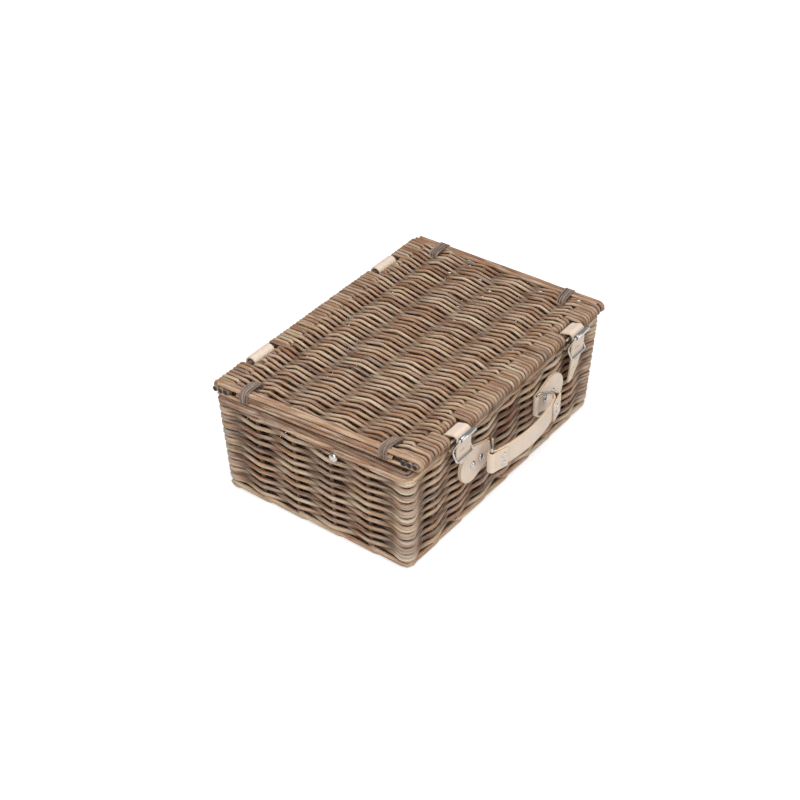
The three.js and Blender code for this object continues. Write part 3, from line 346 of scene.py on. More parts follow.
class Rods:
    """Round rods gathered into one mesh. Each has its own tone and its own coordinates for the grain."""

    GRAIN_SPREAD = 50
    END_ROUND = 0.0004
    END_SHRINK = 0.9

    def __init__(self, seed, sides=8, tones=(0.0, 1.0)):
        self.sides = sides
        self.tones = tones
        self.random = np.random.default_rng(seed)
        self.points, self.faces, self.marks = [], [], []
        self.values = {"grain": [], "tone": [], "clear": []}

    def add(self, path, radius, across, closed=False, tone=None, clear=1.0):
        """Adds a rod along a path. Across is a direction that the path never follows.

        Clear is 1 where the rod lies on top and 0 deep in the weave, where its colour is darkened as
        painted shade. Towards 2 the rod is turned paler.
        """
        path = np.asarray(path, float)
        radius, clear = (np.broadcast_to(value, len(path)) for value in (radius, clear))
        if not closed:
            path, radius = self.round_ends(path, radius)
            clear = np.concatenate([clear[:1], clear, clear[-1:]])
        ahead = heading(path, closed)
        side = unit(np.cross(ahead, across))
        lift = np.cross(side, ahead)
        turn = np.linspace(0, 2 * math.pi, self.sides, endpoint=False)
        ring = np.cos(turn)[:, None] * side[:, None] + np.sin(turn)[:, None] * lift[:, None]
        count, start = len(path), sum(len(p) for p in self.points)
        self.points.append((path[:, None] + radius[:, None, None] * ring).reshape(-1, 3))
        along = travel(path) + self.random.uniform(0, self.GRAIN_SPREAD)
        wide = radius[:, None]
        grain = columns(wide * np.cos(turn), wide * np.sin(turn), along[:, None])
        shade = self.random.uniform(*self.tones) if tone is None else tone
        self.values["grain"].append(grain.reshape(-1, 3))
        self.values["tone"].append(np.full(count * self.sides, shade))
        self.values["clear"].append(np.repeat(clear, self.sides))
        quads = ring_faces(count, self.sides, closed) + start
        self.faces += quads.tolist()
        self.marks += [0] * len(quads)
        if not closed:
            first = np.arange(start, start + self.sides)
            last = first + (count - 1) * self.sides
            self.faces += [first.tolist(), last[::-1].tolist()]
            self.marks += [1, 1]

    def round_ends(self, path, radius):
        """Breaks the sharp edge of each sawn end."""
        lips = []
        for end, beside in ((path[0], path[1]), (path[-1], path[-2])):
            reach = np.linalg.norm(beside - end)
            lips.append(end + (beside - end) / reach * min(self.END_ROUND, 0.3 * reach))
        path = np.vstack([path[:1], lips[:1], path[1:-1], lips[1:], path[-1:]])
        small = radius * self.END_SHRINK
        return path, np.concatenate([small[:1], radius, small[-1:]])

    def make(self, name, look, end_look="willow_cut_end"):
        """The gathered rods as one object, with one finish for the sides and one for the ends."""
        values = {key: np.concatenate(parts) for key, parts in self.values.items()}
        points = np.concatenate(self.points)
        return make_object(name, points, self.faces, [look, end_look], self.marks, values)


def wire_object(name, paths, wire, sides=16):
    """Bent nickel wires as one piece. A path is its points, a side direction and whether it is closed."""
    bundle = Rods(1, sides)
    for points, across, closed in paths:
        bundle.add(points, wire / 2, across, closed, 0.5)
    return bundle.make(name, "bright_nickel", "bright_nickel")


def strip_object(name, path, half_width, thickness, across, closed=False, edge=0.0008):
    """A strip of leather along a path, with rounded cut edges and one half width or one for each point."""
    edge = min(edge, 0.45 * thickness)
    edge_steps, edge_stain = 4, 0.0007
    section = []
    for high, wide in ((1, 1), (-1, 1), (-1, -1), (1, -1)):
        corner = [(high * thickness / 2, wide, -edge - edge_stain, 0.0)]
        for turn in np.linspace(0, math.pi / 2, edge_steps):
            rise = high * (thickness / 2 - edge + edge * math.cos(turn))
            corner.append((rise, wide, edge * math.sin(turn) - edge, 1.0))
        section += corner if high * wide > 0 else corner[::-1]
    rise, wide, offset, cut = np.array(section).T
    count, size = len(path), len(section)
    face = np.cross(heading(path, closed), across)
    reach = wide * np.maximum(np.broadcast_to(half_width, count)[:, None] + offset, 0.0)
    points = path[:, None] + face[:, None] * rise[:, None] + across * reach[..., None]
    faces = ring_faces(count, size, closed).tolist()
    if not closed:
        faces += [list(range(size)), list(range((count - 1) * size, count * size))]
    values = {"cut": np.tile(cut, count)}
    return face_outwards(make_object(name, points.reshape(-1, 3), faces, ["pale_leather"], None, values))


def turned_object(name, profile, origin, axis, look="bright_nickel", sides=28):
    """A turned solid about a level axis.

    The profile is pairs of radius and distance along the axis.
    It runs from axis to axis, or round a tube's wall.
    """
    origin = np.array(origin)
    side = unit(np.cross(axis, Z_AXIS))
    lift = np.cross(axis, side)
    turn = np.linspace(0, 2 * math.pi, sides, endpoint=False)[:, None]
    spokes = np.cos(turn) * side + np.sin(turn) * lift
    profile = np.array(profile, float)
    solid = profile[0, 0] == 0
    rings = profile[1:-1] if solid else profile
    points = origin + rings[:, 1, None, None] * axis + rings[:, 0, None, None] * spokes
    points = points.reshape(-1, 3)
    faces = ring_faces(len(rings), sides, not solid).tolist()
    if solid:
        k = np.arange(sides)
        for pole, first in ((0, 0), (1, len(points) - sides)):
            faces += columns(len(points) + pole, first + k, first + (k + 1) % sides).tolist()
        points = np.vstack([points, [origin + axis * along for along in profile[[0, -1], 1]]])
    return face_outwards(make_object(name, points, faces, [look]))


def cut_away(piece, cutters):
    """Cuts holes and slots through a piece and removes the cutters."""
    for cutter in cutters:
        modifier = piece.modifiers.new("cut", "BOOLEAN")
        modifier.operation = "DIFFERENCE"
        modifier.solver = "EXACT"
        modifier.object = cutter
    bpy.context.view_layer.update()
    ready = piece.evaluated_get(bpy.context.evaluated_depsgraph_get())
    mesh = bpy.data.meshes.new_from_object(ready)
    piece.modifiers.clear()
    piece.data = mesh
    for cutter in cutters:
        bpy.data.objects.remove(cutter)


# Finishes


class Nodes:
    """A node tree, with short ways to add nodes to it."""

    def __init__(self, tree):
        self.tree = tree

    def feed(self, socket, value):
        """Links an output to a socket, or sets the socket's value."""
        if isinstance(value, bpy.types.NodeSocket):
            self.tree.links.new(value, socket)
        else:
            socket.default_value = value

    def add(self, kind, output=0, inputs=None, **settings):
        """Adds a node and gives one of its outputs."""
        node = self.tree.nodes.new(f"ShaderNode{kind}")
        for key, value in settings.items():
            setattr(node, key, value)
        for key, value in (inputs or {}).items():
            self.feed(node.inputs[key], value)
        return node.outputs[output]

    def attribute(self, name, output="Fac"):
        """A value that the mesh carries."""
        return self.add("Attribute", output, attribute_name=name)

    def texture(self, kind, output, vector, scale, **inputs):
        """A texture's value. Scale is one number, or one for each axis."""
        if isinstance(scale, tuple):
            vector, scale = self.add("Mapping", 0, {"Vector": vector, "Scale": scale}), 1.0
        return self.add(kind, output, {"Vector": vector, "Scale": scale, **inputs})

    def noise(self, vector, scale, detail=3.0, roughness=0.55):
        """A noise value."""
        return self.texture("TexNoise", "Fac", vector, scale, Detail=detail, Roughness=roughness)

    def cells(self, vector, scale):
        """How far a point lies from the middle of its cell."""
        return self.texture("TexVoronoi", "Distance", vector, scale)

    def between(self, value, low, high, out_low=0.0, out_high=1.0):
        """Stretches the values between two limits, and clamps them."""
        limits = {"From Min": low, "From Max": high, "To Min": out_low, "To Max": out_high}
        return self.add("MapRange", 0, {"Value": value, **limits}, clamp=True)

    def math(self, kind, first, second):
        """Sum, product and the like of two values."""
        return self.add("Math", 0, {0: first, 1: second}, operation=kind)

    def size(self, vector):
        """The length of a vector."""
        return self.add("VectorMath", "Value", {0: vector}, operation="LENGTH")

    def mix(self, factor, first, second):
        """Mixes two colours."""
        first, second = (v if isinstance(v, bpy.types.NodeSocket) else (*v, 1.0) for v in (first, second))
        return self.add("Mix", 2, {0: factor, 6: first, 7: second}, data_type="RGBA")

    def ramp(self, value, colours):
        """Runs through four colours from 0 to 1."""
        output = self.add("ValToRGB", 0, {0: value})
        elements = output.node.color_ramp.elements
        elements[0].color, elements[1].color = (*colours[0], 1), (*colours[3], 1)
        for position, shade in ((0.34, colours[1]), (0.68, colours[2])):
            elements.new(position).color = (*shade, 1)
        return output

    def surface(self, height=None, strength=0.0, distance=0.0, **values):
        """Sets the shader's sockets and the bump of its surface."""
        sockets = self.tree.nodes["Principled BSDF"].inputs
        if height is not None:
            bump = {"Strength": strength, "Distance": distance, "Height": height}
            self.feed(sockets["Normal"], self.add("Bump", 0, bump))
        for key, value in values.items():
            self.feed(sockets[key.replace("_", " ")], value)


def new_material(name):
    """The nodes of a new material."""
    material = bpy.data.materials.new(name)
    material.use_nodes = True
    return Nodes(material.node_tree)


def dim(value, share):
    """A darker or lighter shade of a colour."""
    return tuple(c * share for c in value)


def willow_material(name, colours, wash, wash_amount):
    """Dyed willow rods: streaks along the grain, blotches, small knots and a rubbed whitish wash, with
    painted shade where the rods lie deep in the weave.
    """
    nodes = new_material(name)
    grain = nodes.attribute("grain", "Vector")
    clear = nodes.attribute("clear")
    blotch = nodes.noise(grain, (140, 140, 26))
    streak = nodes.noise(grain, (1500, 1500, 55), 4.0, 0.6)
    patch = nodes.noise(grain, (420, 420, 34), 4.0, 0.65)
    knot = nodes.cells(grain, (130, 130, 22))
    tone = nodes.math("ADD", nodes.attribute("tone"), nodes.between(blotch, 0.3, 0.7, -0.3, 0.3))
    rubbed = nodes.math("MULTIPLY", nodes.between(patch, 0.44, 0.66), wash_amount)
    look = nodes.mix(nodes.between(streak, 0.35, 0.7, 0.5, 0.0), nodes.ramp(tone, colours), colours[0])
    look = nodes.mix(rubbed, look, wash)
    look = nodes.mix(nodes.between(knot, 0.05, 0.13, 0.75, 0.0), look, dim(colours[0], 0.5))
    # Rods are turned paler towards the wash where clear passes 1.
    look = nodes.mix(nodes.between(clear, 1.0, 2.0, 0.0, 0.6), look, wash)
    # Painted shade: rods are darkened towards near black where clear falls to 0, deep in the weave.
    look = nodes.mix(nodes.between(clear, 0.0, 1.0, 0.85, 0.0), look, dim(colours[0], 0.16))
    rough = nodes.between(streak, 0.3, 0.7, 0.78, 0.55)
    nodes.surface(streak, 0.35, 0.0004, Base_Color=look, Roughness=rough, Specular_IOR_Level=0.35)


def cut_end_material(name, wood):
    """Sawn rod ends: dark wood round a darker pith."""
    nodes = new_material(name)
    grain = nodes.attribute("grain", "Vector")
    from_middle = nodes.size(nodes.add("Mapping", 0, {"Vector": grain, "Scale": (1, 1, 0)}))
    speck = nodes.between(nodes.noise(grain, (2400, 2400, 2400)), 0.3, 0.7, 0.6, 1.0)
    shade = nodes.math("MULTIPLY", nodes.between(from_middle, 0.0006, 0.0022), speck)
    nodes.surface(Base_Color=nodes.mix(shade, dim(wood, 0.45), wood), Roughness=0.85)


def leather_material(name, face, edge):
    """Pale smooth leather: fine grain, faint mottling and a raw cut edge."""
    nodes = new_material(name)
    spot = nodes.add("TexCoord", "Object")
    mottle = nodes.noise(spot, 90.0, 4.0, 0.6)
    pores = nodes.cells(spot, 1500.0)
    crease = nodes.noise(spot, 520.0, 5.0, 0.6)
    look = nodes.mix(nodes.between(mottle, 0.35, 0.7, 0.0, 0.35), face, dim(face, 0.82))
    look = nodes.mix(nodes.between(pores, 0.1, 0.55, 0.22, 0.0), look, dim(edge, 0.6))
    look = nodes.mix(nodes.between(nodes.attribute("cut"), 0.35, 0.95, 0.0, 0.75), look, edge)
    rough = nodes.between(mottle, 0.3, 0.7, 0.48, 0.62)
    height = nodes.math("ADD", pores, nodes.math("MULTIPLY", crease, 0.8))
    nodes.surface(height, 0.25, 0.0003, Base_Color=look, Roughness=rough, Specular_IOR_Level=0.4)


def nickel_material(name, plate):
    """Bright nickel plate with faint rubbing. Its colour is given darker than the plate, as painted shade
    in its reflections.
    """
    nodes = new_material(name)
    rub = nodes.noise(nodes.add("TexCoord", "Object"), 700.0, 4.0, 0.6)
    look = nodes.mix(nodes.between(rub, 0.4, 0.75, 0.0, 0.4), plate, dim(plate, 0.75))
    nodes.surface(Base_Color=look, Roughness=nodes.between(rub, 0.3, 0.7, 0.12, 0.26), Metallic=1.0)


def make_finishes(colours):
    """Makes every finish of the hamper."""
    tones = [colours.willow_dark, colours.willow_red, colours.willow_tan, colours.willow_pale]
    willow_material("willow_wall", tones, colours.wash, 0.55)
    willow_material("willow_lid", tones, colours.wash, 0.5)
    willow_material("willow_stick", [dim(tone, 0.8) for tone in tones], colours.wash, 0.3)
    tie_tones = [dim(colours.tie, share) for share in (0.55, 0.8, 1.0, 1.35)]
    willow_material("willow_tie", tie_tones, colours.wash, 0.35)
    cut_end_material("willow_cut_end", colours.cut_end)
    leather_material("pale_leather", colours.leather, colours.leather_edge)
    nickel_material("bright_nickel", colours.nickel)


def finish(name):
    """The finish of that name. All are made when one is first asked for."""
    if name not in bpy.data.materials:
        make_finishes(bpy.context.scene.hamper_finishes)
    return bpy.data.materials[name]


# Basket


class WallLine:
    """The wall's middle line at one height, measured from the front left corner, with its uprights."""

    HINGE_PITCHES = 5
    POST_INSET = 0.0077
    POST_LEADS = np.array([-1.0, -0.2, 0.2, 1.0])
    POST_DIP = 0.15
    SHARP = 0.975

    def __init__(self, sizes, z):
        share = 1 - z / sizes.height
        depth = sizes.wall_depth / 2
        self.a = sizes.rim_length / 2 - sizes.end_lean * share - depth
        self.b = sizes.rim_width / 2 - sizes.side_lean * share - depth
        self.r = sizes.corner
        quarter = self.r * math.pi / 2
        runs = [quarter / 2, *[2 * (self.a - self.r), quarter, 2 * (self.b - self.r), quarter] * 2]
        runs[-1] = quarter / 2
        self.starts = np.concatenate([[0], np.cumsum(runs)])
        self.total = self.starts[-1]
        end_pitch = 2 * (sizes.rim_width / 2 - self.POST_INSET) / (sizes.end_stakes + 1)
        side = self.spread(sizes.side_stakes, 2 * HINGE_X / self.HINGE_PITCHES)
        end = self.spread(sizes.end_stakes, end_pitch)
        uprights, self.stakes = [0.0], [None]
        for run, stakes in ((1, side), (3, end), (5, side), (7, end)):
            uprights.extend(self.starts[run] + runs[run] / 2 + stakes)
            uprights.append((self.starts[run + 1] + self.starts[run + 2]) / 2)
            self.stakes += [*range(len(stakes)), None]
        self.uprights = np.array(uprights[:-1])
        self.stakes = self.stakes[:-1]
        self.count = len(self.stakes)

    @staticmethod
    def spread(count, pitch):
        """Places of stakes to both sides of a wall's middle."""
        return (np.arange(count) - (count - 1) / 2) * pitch

    def upright(self, k):
        """Distance to upright k, counted on round the basket."""
        return self.uprights[k % self.count] + (k // self.count) * self.total

    def is_post(self, k):
        """Whether upright k is a corner post."""
        return self.stakes[k % self.count] is None

    def outside(self, k, row):
        """Whether a row passes outside upright k. All rows pass outside the corner posts."""
        return self.is_post(k) or (self.stakes[k % self.count] + row) % 2 == 0

    def swing(self, s, row, sizes):
        """How far out a row lies: past the stakes by turns, and well round the posts."""
        dip = -self.POST_DIP * sizes.swing
        knots = []
        for k in range(-self.count, 2 * self.count):
            if self.is_post(k):
                swings = (dip, sizes.post_swing, sizes.post_swing, dip)
                knots.extend(zip(self.upright(k) + self.POST_LEADS * sizes.post_lead, swings))
            else:
                knots.append((self.upright(k), sizes.swing if self.outside(k, row) else -sizes.swing))
        places, swings = np.array(knots).T
        after = np.clip(np.searchsorted(places, s), 1, len(places) - 1)
        share = (s - places[after - 1]) / (places[after] - places[after - 1])
        return swings[after] + (swings[after - 1] - swings[after]) * (1 + weave(share, self.SHARP)) / 2

    def near_post(self, s, reach):
        """1 at a corner post, falling to 0 at a distance from it."""
        posts = [self.upright(k) for k in range(-self.count, 2 * self.count) if self.is_post(k)]
        return fade(np.min([np.abs(s - post) for post in posts], axis=0), reach)

    def closeness(self, s):
        """1 along the right end and the back, where thicker rods lie closer, and 0 elsewhere."""
        past_corner, change = 0.008, 0.02
        s = np.mod(s, self.total)
        return np.clip(np.minimum(s - self.starts[3], self.starts[7] + past_corner - s) / change, 0, 1)

    def at(self, s, out):
        """Coordinates at distances along the line, moved outwards.

        Odd runs are straight, and even ones are corners.
        """
        s = np.mod(s, self.total)
        reach = self.r + np.broadcast_to(out, s.shape)
        x, y = np.zeros_like(s), np.zeros_like(s)
        for run, (start, end) in enumerate(zip(self.starts, self.starts[1:])):
            here = (s >= start) & (s <= end)
            t = s[here] - start
            corner, straight = divmod(run, 2)
            if straight:
                angle = np.full_like(t, math.radians(270 + 90 * corner))
            else:
                angle = math.radians(max(225, 180 + 90 * corner)) + t / self.r
            sign_x = 1 if corner in (1, 2) else -1
            sign_y = 1 if corner in (2, 3) else -1
            cos, sin = np.cos(angle), np.sin(angle)
            x[here] = sign_x * (self.a - self.r) + reach[here] * cos - straight * t * sin
            y[here] = sign_y * (self.b - self.r) + reach[here] * sin + straight * t * cos
        return x, y


def near_fitting(x, y):
    """1 under a hinge loop at the back or a buckle's leather at the front, falling to 0 beside it."""
    strap_half, hinge_half, change = 0.0105, 0.0165, 0.006
    front = np.min([np.abs(x - place) for place in STRAP_PLACES.values()], axis=0) - strap_half
    back = np.abs(np.abs(x) - HINGE_X) - hinge_half
    return fade(np.where(y > 0, back, front), change)


def wall_rows(sizes, rods):
    """Rows of the wall, each of a few tapering rods that start and end inside the basket."""
    random = rods.random
    lap, step, butt, tip = 0.007, 0.0022, 1.07, 0.93
    tuck_run, tuck_in, tuck_rise, tuck_thin = 0.012, 0.0012, 0.0004, 0.12
    bend_run, bend_rise, bend_thin, post_pale_run = 0.017, 0.0010, 0.06, 0.012
    wander, wander_run = 0.0006, 0.035
    close_swing, close_thick = 0.5, 0.2
    for row in range(sizes.rows):
        z = sizes.first_row + row * sizes.row_pitch
        line = WallLine(sizes, z)
        hidden = [k for k in range(line.count) if not line.outside(k, row)]
        first = int(random.integers(len(hidden)))
        turns = hidden[first:] + [k + line.count for k in hidden[:first + 1]]
        now, last = 0, len(turns) - 1
        while now < last:
            following = now + int(random.integers(3, 6))
            if following > last - 2:
                following = last
            start, end = line.upright(turns[now]) - lap, line.upright(turns[following]) + lap
            s = np.linspace(start, end, int((end - start) / step))
            tuck = fade(np.minimum(s - start, end - s), tuck_run)
            close = line.closeness(s)
            bent = line.near_post(s, bend_run)
            taper = np.linspace(butt, tip, len(s)) * random.uniform(0.95, 1.04)
            out = line.swing(s, row, sizes) * (1 - close_swing * close) - tuck_in * tuck
            rise = z + slow_noise(random, s, wander_run, wander)
            rise = rise + tuck_rise * tuck * random.choice([-1, 1]) + bend_rise * (-1) ** row * bent
            radius = sizes.weaver / 2 * taper * (1 - tuck_thin * tuck) * (1 - bend_thin * bent)
            radius = radius * (1 + close_thick * close)
            # Painted shade: the rod darkens where it swings in behind a stake; near the corner posts it is
            # made paler.
            clear = np.clip((out / sizes.swing + 0.6) / 1.1, 0, 1)
            clear = clear + random.uniform(0.2, 0.9) * line.near_post(s, post_pale_run)
            rods.add(columns(*line.at(s, out), rise), radius, Z_AXIS, clear=clear)
            now = following


def rim_rods(sizes, rods):
    """Stakes turned down into the rim. Each runs outside past two uprights and tucks in over the top."""
    random = rods.random
    step, before, past = 0.0045, 0.004, 0.012
    drop, lowest, climb, wander = 0.0045, 0.0078, 0.0046, 0.0003
    out_run, start_in, end_in = 0.0030, 0.0062, 0.0042
    start_share, end_share, end_shade = 0.10, 0.14, 0.16
    edge_room, pressed_rise, pressed_share, pressed_in = 0.004, 0.0008, 0.85, 0.62
    plain_rods = ((-0.0023, 0.0052), (0.0003, 0.0023), (-0.0046, 0.0024), (-0.0066, 0.0050))
    z = sizes.height - drop
    line = WallLine(sizes, z)
    for k in range(line.count):
        start, end = line.upright(k) - before, line.upright(k + 2) + past
        s = np.linspace(start, end, int((end - start) / step))
        u = (s - start) / (end - start)
        out = out_run - start_in * fade(u, start_share) - end_in * fade(1 - u, end_share)
        rise = sizes.height - lowest + climb * u + slow_noise(random, s, 0.04, wander)
        x, y = line.at(s, out)
        tight = near_fitting(x, y) * (np.abs(y) > line.b - edge_room)
        rise = rise + tight * (z + pressed_rise - rise) * pressed_share
        x, y = line.at(s, out * (1 - pressed_in * tight))
        # Painted shade: each rod darkens where it starts inside and where it tucks in over the top.
        clear = 1 - 0.9 * fade(u, start_share) - 0.8 * fade(1 - u, end_shade)
        radius = sizes.rim_rod / 2 * random.uniform(0.9, 1.08)
        rods.add(columns(x, y, rise), radius, Z_AXIS, clear=clear)
    s = np.linspace(0, line.total, 260, endpoint=False)
    for out, below in plain_rods:
        x, y = line.at(s, out + slow_noise(random, s, 0.05, wander))
        # Painted shade: the plain rods inside the rim are darkened, with clear 0.5.
        rods.add(columns(x, y, sizes.height - below), sizes.rim_core / 2, Z_AXIS, True, 0.4, 0.5)


def foot_rods(sizes, rods):
    """Foot border: one slanting rod for each upright, over plain rods inside."""
    step, before, past = 0.004, 0.005, 0.017
    level, top, fall, butt, tip = 0.004, 0.0070, 0.0042, 1.06, 0.88
    out_run, start_in, end_in, start_share, end_share = 0.0026, 0.0058, 0.0050, 0.14, 0.16
    plain_rods = ((-0.0040, 0.0027), (-0.0036, 0.0072))
    line = WallLine(sizes, level)
    for k in range(line.count):
        start, end = line.upright(k) - before, line.upright(k + 1) + past
        s = np.linspace(start, end, int((end - start) / step))
        u = (s - start) / (end - start)
        out = out_run - start_in * fade(u, start_share) - end_in * fade(1 - u, end_share)
        taper = np.linspace(butt, tip, len(s)) * rods.random.uniform(0.97, 1.02)
        # Painted shade: each rod darkens towards its tucked-in ends.
        clear = 1 - 0.9 * (fade(u, 0.05) + fade(1 - u, 0.1))
        path = columns(*line.at(s, out), top - fall * u)
        rods.add(path, sizes.foot_rod / 2 * taper, Z_AXIS, clear=clear)
    s = np.linspace(0, line.total, 240, endpoint=False)
    for out, z in plain_rods:
        # Painted shade: the plain rods inside the foot are darkened, with clear 0.15.
        rods.add(columns(*line.at(s, out), z), sizes.foot_core / 2, Z_AXIS, True, 0.1, 0.15)


def base_rods(sizes, rods):
    """Base: weavers across the width, over and under sticks along the length."""
    level, wave, stick_count = 0.004, 0.0011, 6
    stick_inset, stick_short, weaver_short = 0.006, 0.002, 0.0018
    half_x, half_y, _ = box_size("base_weave") / 2
    sticks = np.linspace(-half_y + stick_inset, half_y - stick_inset, stick_count)
    x = np.linspace(-half_x + stick_short, half_x - stick_short, 30)
    for y in sticks:
        rods.add(columns(x, y, level), sizes.base_stick / 2, Z_AXIS)
    y = np.linspace(-half_y + weaver_short, half_y - weaver_short, 46)
    for i in range(int(2 * half_x / sizes.base_pitch)):
        x = -half_x + sizes.base_pitch * (i + 0.7)
        z = level + wave * weave(np.interp(y, sticks, np.arange(stick_count)) + i)
        rods.add(columns(x, y, z), sizes.base_weaver / 2 * rods.random.uniform(0.98, 1.02), X_AXIS)


def stake_rods(sizes, rods):
    """Upright stakes of all four walls."""
    inset, corner_room = 0.006, 0.01
    heights = np.linspace(inset, sizes.height - inset, 24)
    lines = [WallLine(sizes, z) for z in heights]
    for k in range(lines[0].count):
        if not lines[0].is_post(k):
            places = [np.ravel(line.at(line.uprights[k:k + 1], 0.0)) for line in lines]
            path = [[*spot, z] for spot, z in zip(places, heights)]
            across = X_AXIS if abs(path[0][0]) > lines[0].a - corner_room else Y_AXIS
            # Painted shade: stakes are darkened, with clear 0.45, as they lie inside the weave.
            rods.add(path, sizes.stake / 2, across, clear=0.45)


def post_rods(sizes, rods):
    """Corner posts with sawn tops, leaning outwards."""
    inset = np.array([0.0035, 0.0035, 0.0])
    share = np.linspace(0, 1, 16)[:, None]
    for end, sign_y in ENDS.items():
        for side, sign_x in SIDES.items():
            low, high = box_corners(f"corner_post_{end}_{side}")
            out = np.array([sign_x, sign_y, 1])
            top = np.where(out > 0, high, low) - out * inset
            foot = np.where(out > 0, low, high) + out * inset
            # Painted shade: posts are darkened, with clear 0.35, as they lie under the rows.
            rods.add(foot + (top - foot) * share, sizes.post / 2, X_AXIS, clear=0.35)


class HamperBasket(bpy.types.Operator):
    """Weaves the base, the walls, the foot border and the rim round their stakes"""
    bl_idname = "hamper.basket"
    bl_label = "Weave Basket"

    def execute(self, context):
        walls = [f"wall_weave_{name}" for name in WALLS]
        stakes = [f"stakes_and_border_{name}" for name in WALLS]
        posts = [f"corner_post_{end}_{side}" for end in ENDS for side in SIDES]
        for name, make, rods, look, nodes in (
            ("base_rods", base_rods, Rods(11), "willow_stick", ["base_weave"]),
            ("foot_rods", foot_rods, Rods(12, 8, (0.55, 1.0)), "willow_wall", ["foot_border"]),
            ("wall_rows", wall_rows, Rods(13), "willow_wall", walls),
            ("rim_rods", rim_rods, Rods(14), "willow_wall", []),
            ("stakes", stake_rods, Rods(15, 10), "willow_stick", stakes),
            ("corner_posts", post_rods, Rods(16, 12), "willow_wall", posts),
        ):
            make(context.scene.hamper_basket, rods)
            place(rods.make(name, look), "basket", "willow", *nodes)
        return {"FINISHED"}


# Lid


def lid_weavers(sizes, rods):
    """Weavers over and under the sticks. Two in three go on round the edge sticks at front and back."""
    random = rods.random
    wander, wander_run, wander_span = 0.0008, 0.035, 0.3
    edge_shift = (-0.25, 0.25, 0.0)
    reach = box_size("lid_weave")[0] / 2
    pitch = 2 * reach / sizes.weavers
    for i in range(sizes.weavers):
        x = (i + 0.5) * pitch - reach
        radius = sizes.weaver / 2 * random.uniform(0.9, 1.1)
        edge_radius = sizes.edge_weaver / 2 * random.uniform(0.9, 1.06)
        front, back = (weaver_end(sizes, i, x, sign, edge_radius) for sign in ENDS.values())
        y, z = np.vstack([front[::-1], weaver_line(sizes, i, random), back]).T
        out = np.clip((np.abs(y) - THIRD_STICK) / (SECOND_STICK - THIRD_STICK), 0, 1)
        shift = slow_noise(random, np.linspace(0, wander_span, len(y)), wander_run, wander)
        path = columns(x + shift + edge_shift[i % 3] * pitch * out, y, z + LID_LEVEL)
        # Painted shade: a weaver darkens where it dips under a stick; over the edge sticks it stays partly
        # darkened.
        clear = np.clip(z / sizes.swing + 0.45, 0, 1)
        clear = np.maximum(clear, random.uniform(0.5, 0.85) * out) * (1 - 0.16 * out)
        rods.add(slanted(path), radius + (edge_radius - radius) * out, X_AXIS, clear=clear)


def weaver_line(sizes, i, random):
    """One weaver's line over and under the inner sticks and the third sticks."""
    crest_shift, ease_run, sharp = 0.0035, 0.02, 0.98
    supports = np.array([-THIRD_STICK, *INNER_STICKS, THIRD_STICK])
    crests = supports.copy()
    crests[1:-1] += random.uniform(-crest_shift, crest_shift, len(INNER_STICKS))
    y = np.linspace(-THIRD_STICK, THIRD_STICK, 86)
    phase = np.interp(y, crests, np.arange(-1, len(supports) - 1)) + i
    ease = np.clip((THIRD_STICK - np.abs(y)) / ease_run, 0, 1)
    return columns(y, sizes.swing * weave(phase, sharp) * (1 + ease * random.uniform(-0.16, 0.06)))


def weaver_end(sizes, i, x, sign, radius):
    """The end of a weaver past the third stick, at the front or the back."""
    sink, cut_off, cut_low, notch_room, press = 0.001, 0.002, -0.0038, 0.0058, 0.0003
    last = -1 if sign < 0 else len(INNER_STICKS)
    start = sizes.swing * (1 if (last + i) % 2 == 0 else -1)
    top = STICK_RADIUS + radius - press
    if i % 3 == 2:
        y = np.linspace(THIRD_STICK, SECOND_STICK + cut_off, 7)[1:]
        share = (y - THIRD_STICK) / (y[-1] - THIRD_STICK)
        return columns(sign * y, start + (cut_low - start) * share)
    notched = in_notch(x, sign, radius)
    edge = SECOND_STICK if notched else LID_EDGE
    wide = min(top, notch_room - radius) if notched else top
    y = np.linspace(THIRD_STICK, edge, 10)[1:-1]
    share = np.clip((y - THIRD_STICK) / (SECOND_STICK - sink - THIRD_STICK), 0, 1)
    rising = columns(y, start + (top - start) * share * share * (3 - 2 * share))
    turn = np.radians(np.linspace(90, -90, 9))
    bend = columns(edge + wide * np.cos(turn), top * np.sin(turn))
    tail = [(edge - 0.008, -top), (edge - 0.016, -top + 0.0005)]
    return np.vstack([rising, bend, tail]) * (sign, 1)


def in_notch(x, sign, radius):
    """Whether a weaver comes to the lid's edge at a strap or a hinge loop."""
    here = slanted([[x, sign * LID_EDGE, 0.0]])[0, 0]
    if sign < 0:
        gap = min(abs(here - strap) for strap in STRAP_PLACES.values())
        fitting, room = "lid_strap_left", 0.0010
    else:
        gap = abs(abs(here) - HINGE_X)
        fitting, room = "hinge_loop_left", 0.0030
    return gap < box_size(fitting)[0] / 2 + radius + room


def lid_sticks(rods):
    """Straight sticks along the lid. The outer three of each side come together at the ends."""
    random = rods.random
    inner_short, outer_proud, uneven = 0.0035, 0.0022, 0.001
    gather_start, gather_run = 0.125, 0.05
    side_by_side = {SECOND_STICK: 0.0066, THIRD_STICK: 0.0132}
    half = LID_LENGTH / 2
    outer_sticks = [sign * y for sign in ENDS.values() for y in (LID_EDGE, SECOND_STICK, THIRD_STICK)]
    for y in outer_sticks + INNER_STICKS:
        reach = half - inner_short if y in INNER_STICKS else half + outer_proud
        x = np.linspace(-reach + random.uniform(0, uneven), reach - random.uniform(0, uneven), 40)
        gather = np.clip((np.abs(x) - gather_start) / gather_run, 0, 1)
        to_edge = LID_EDGE - abs(y)
        pull = math.copysign(to_edge - side_by_side.get(abs(y), to_edge), y)
        # Painted shade: the sticks are dark where the weavers cover them and lighter at their bare ends.
        clear = np.interp(np.abs(x), [half - 0.02, half - 0.012], [0.15, 0.7])
        rods.add(slanted(columns(x, y + pull * gather, LID_LEVEL)), STICK_RADIUS, Z_AXIS, clear=clear)


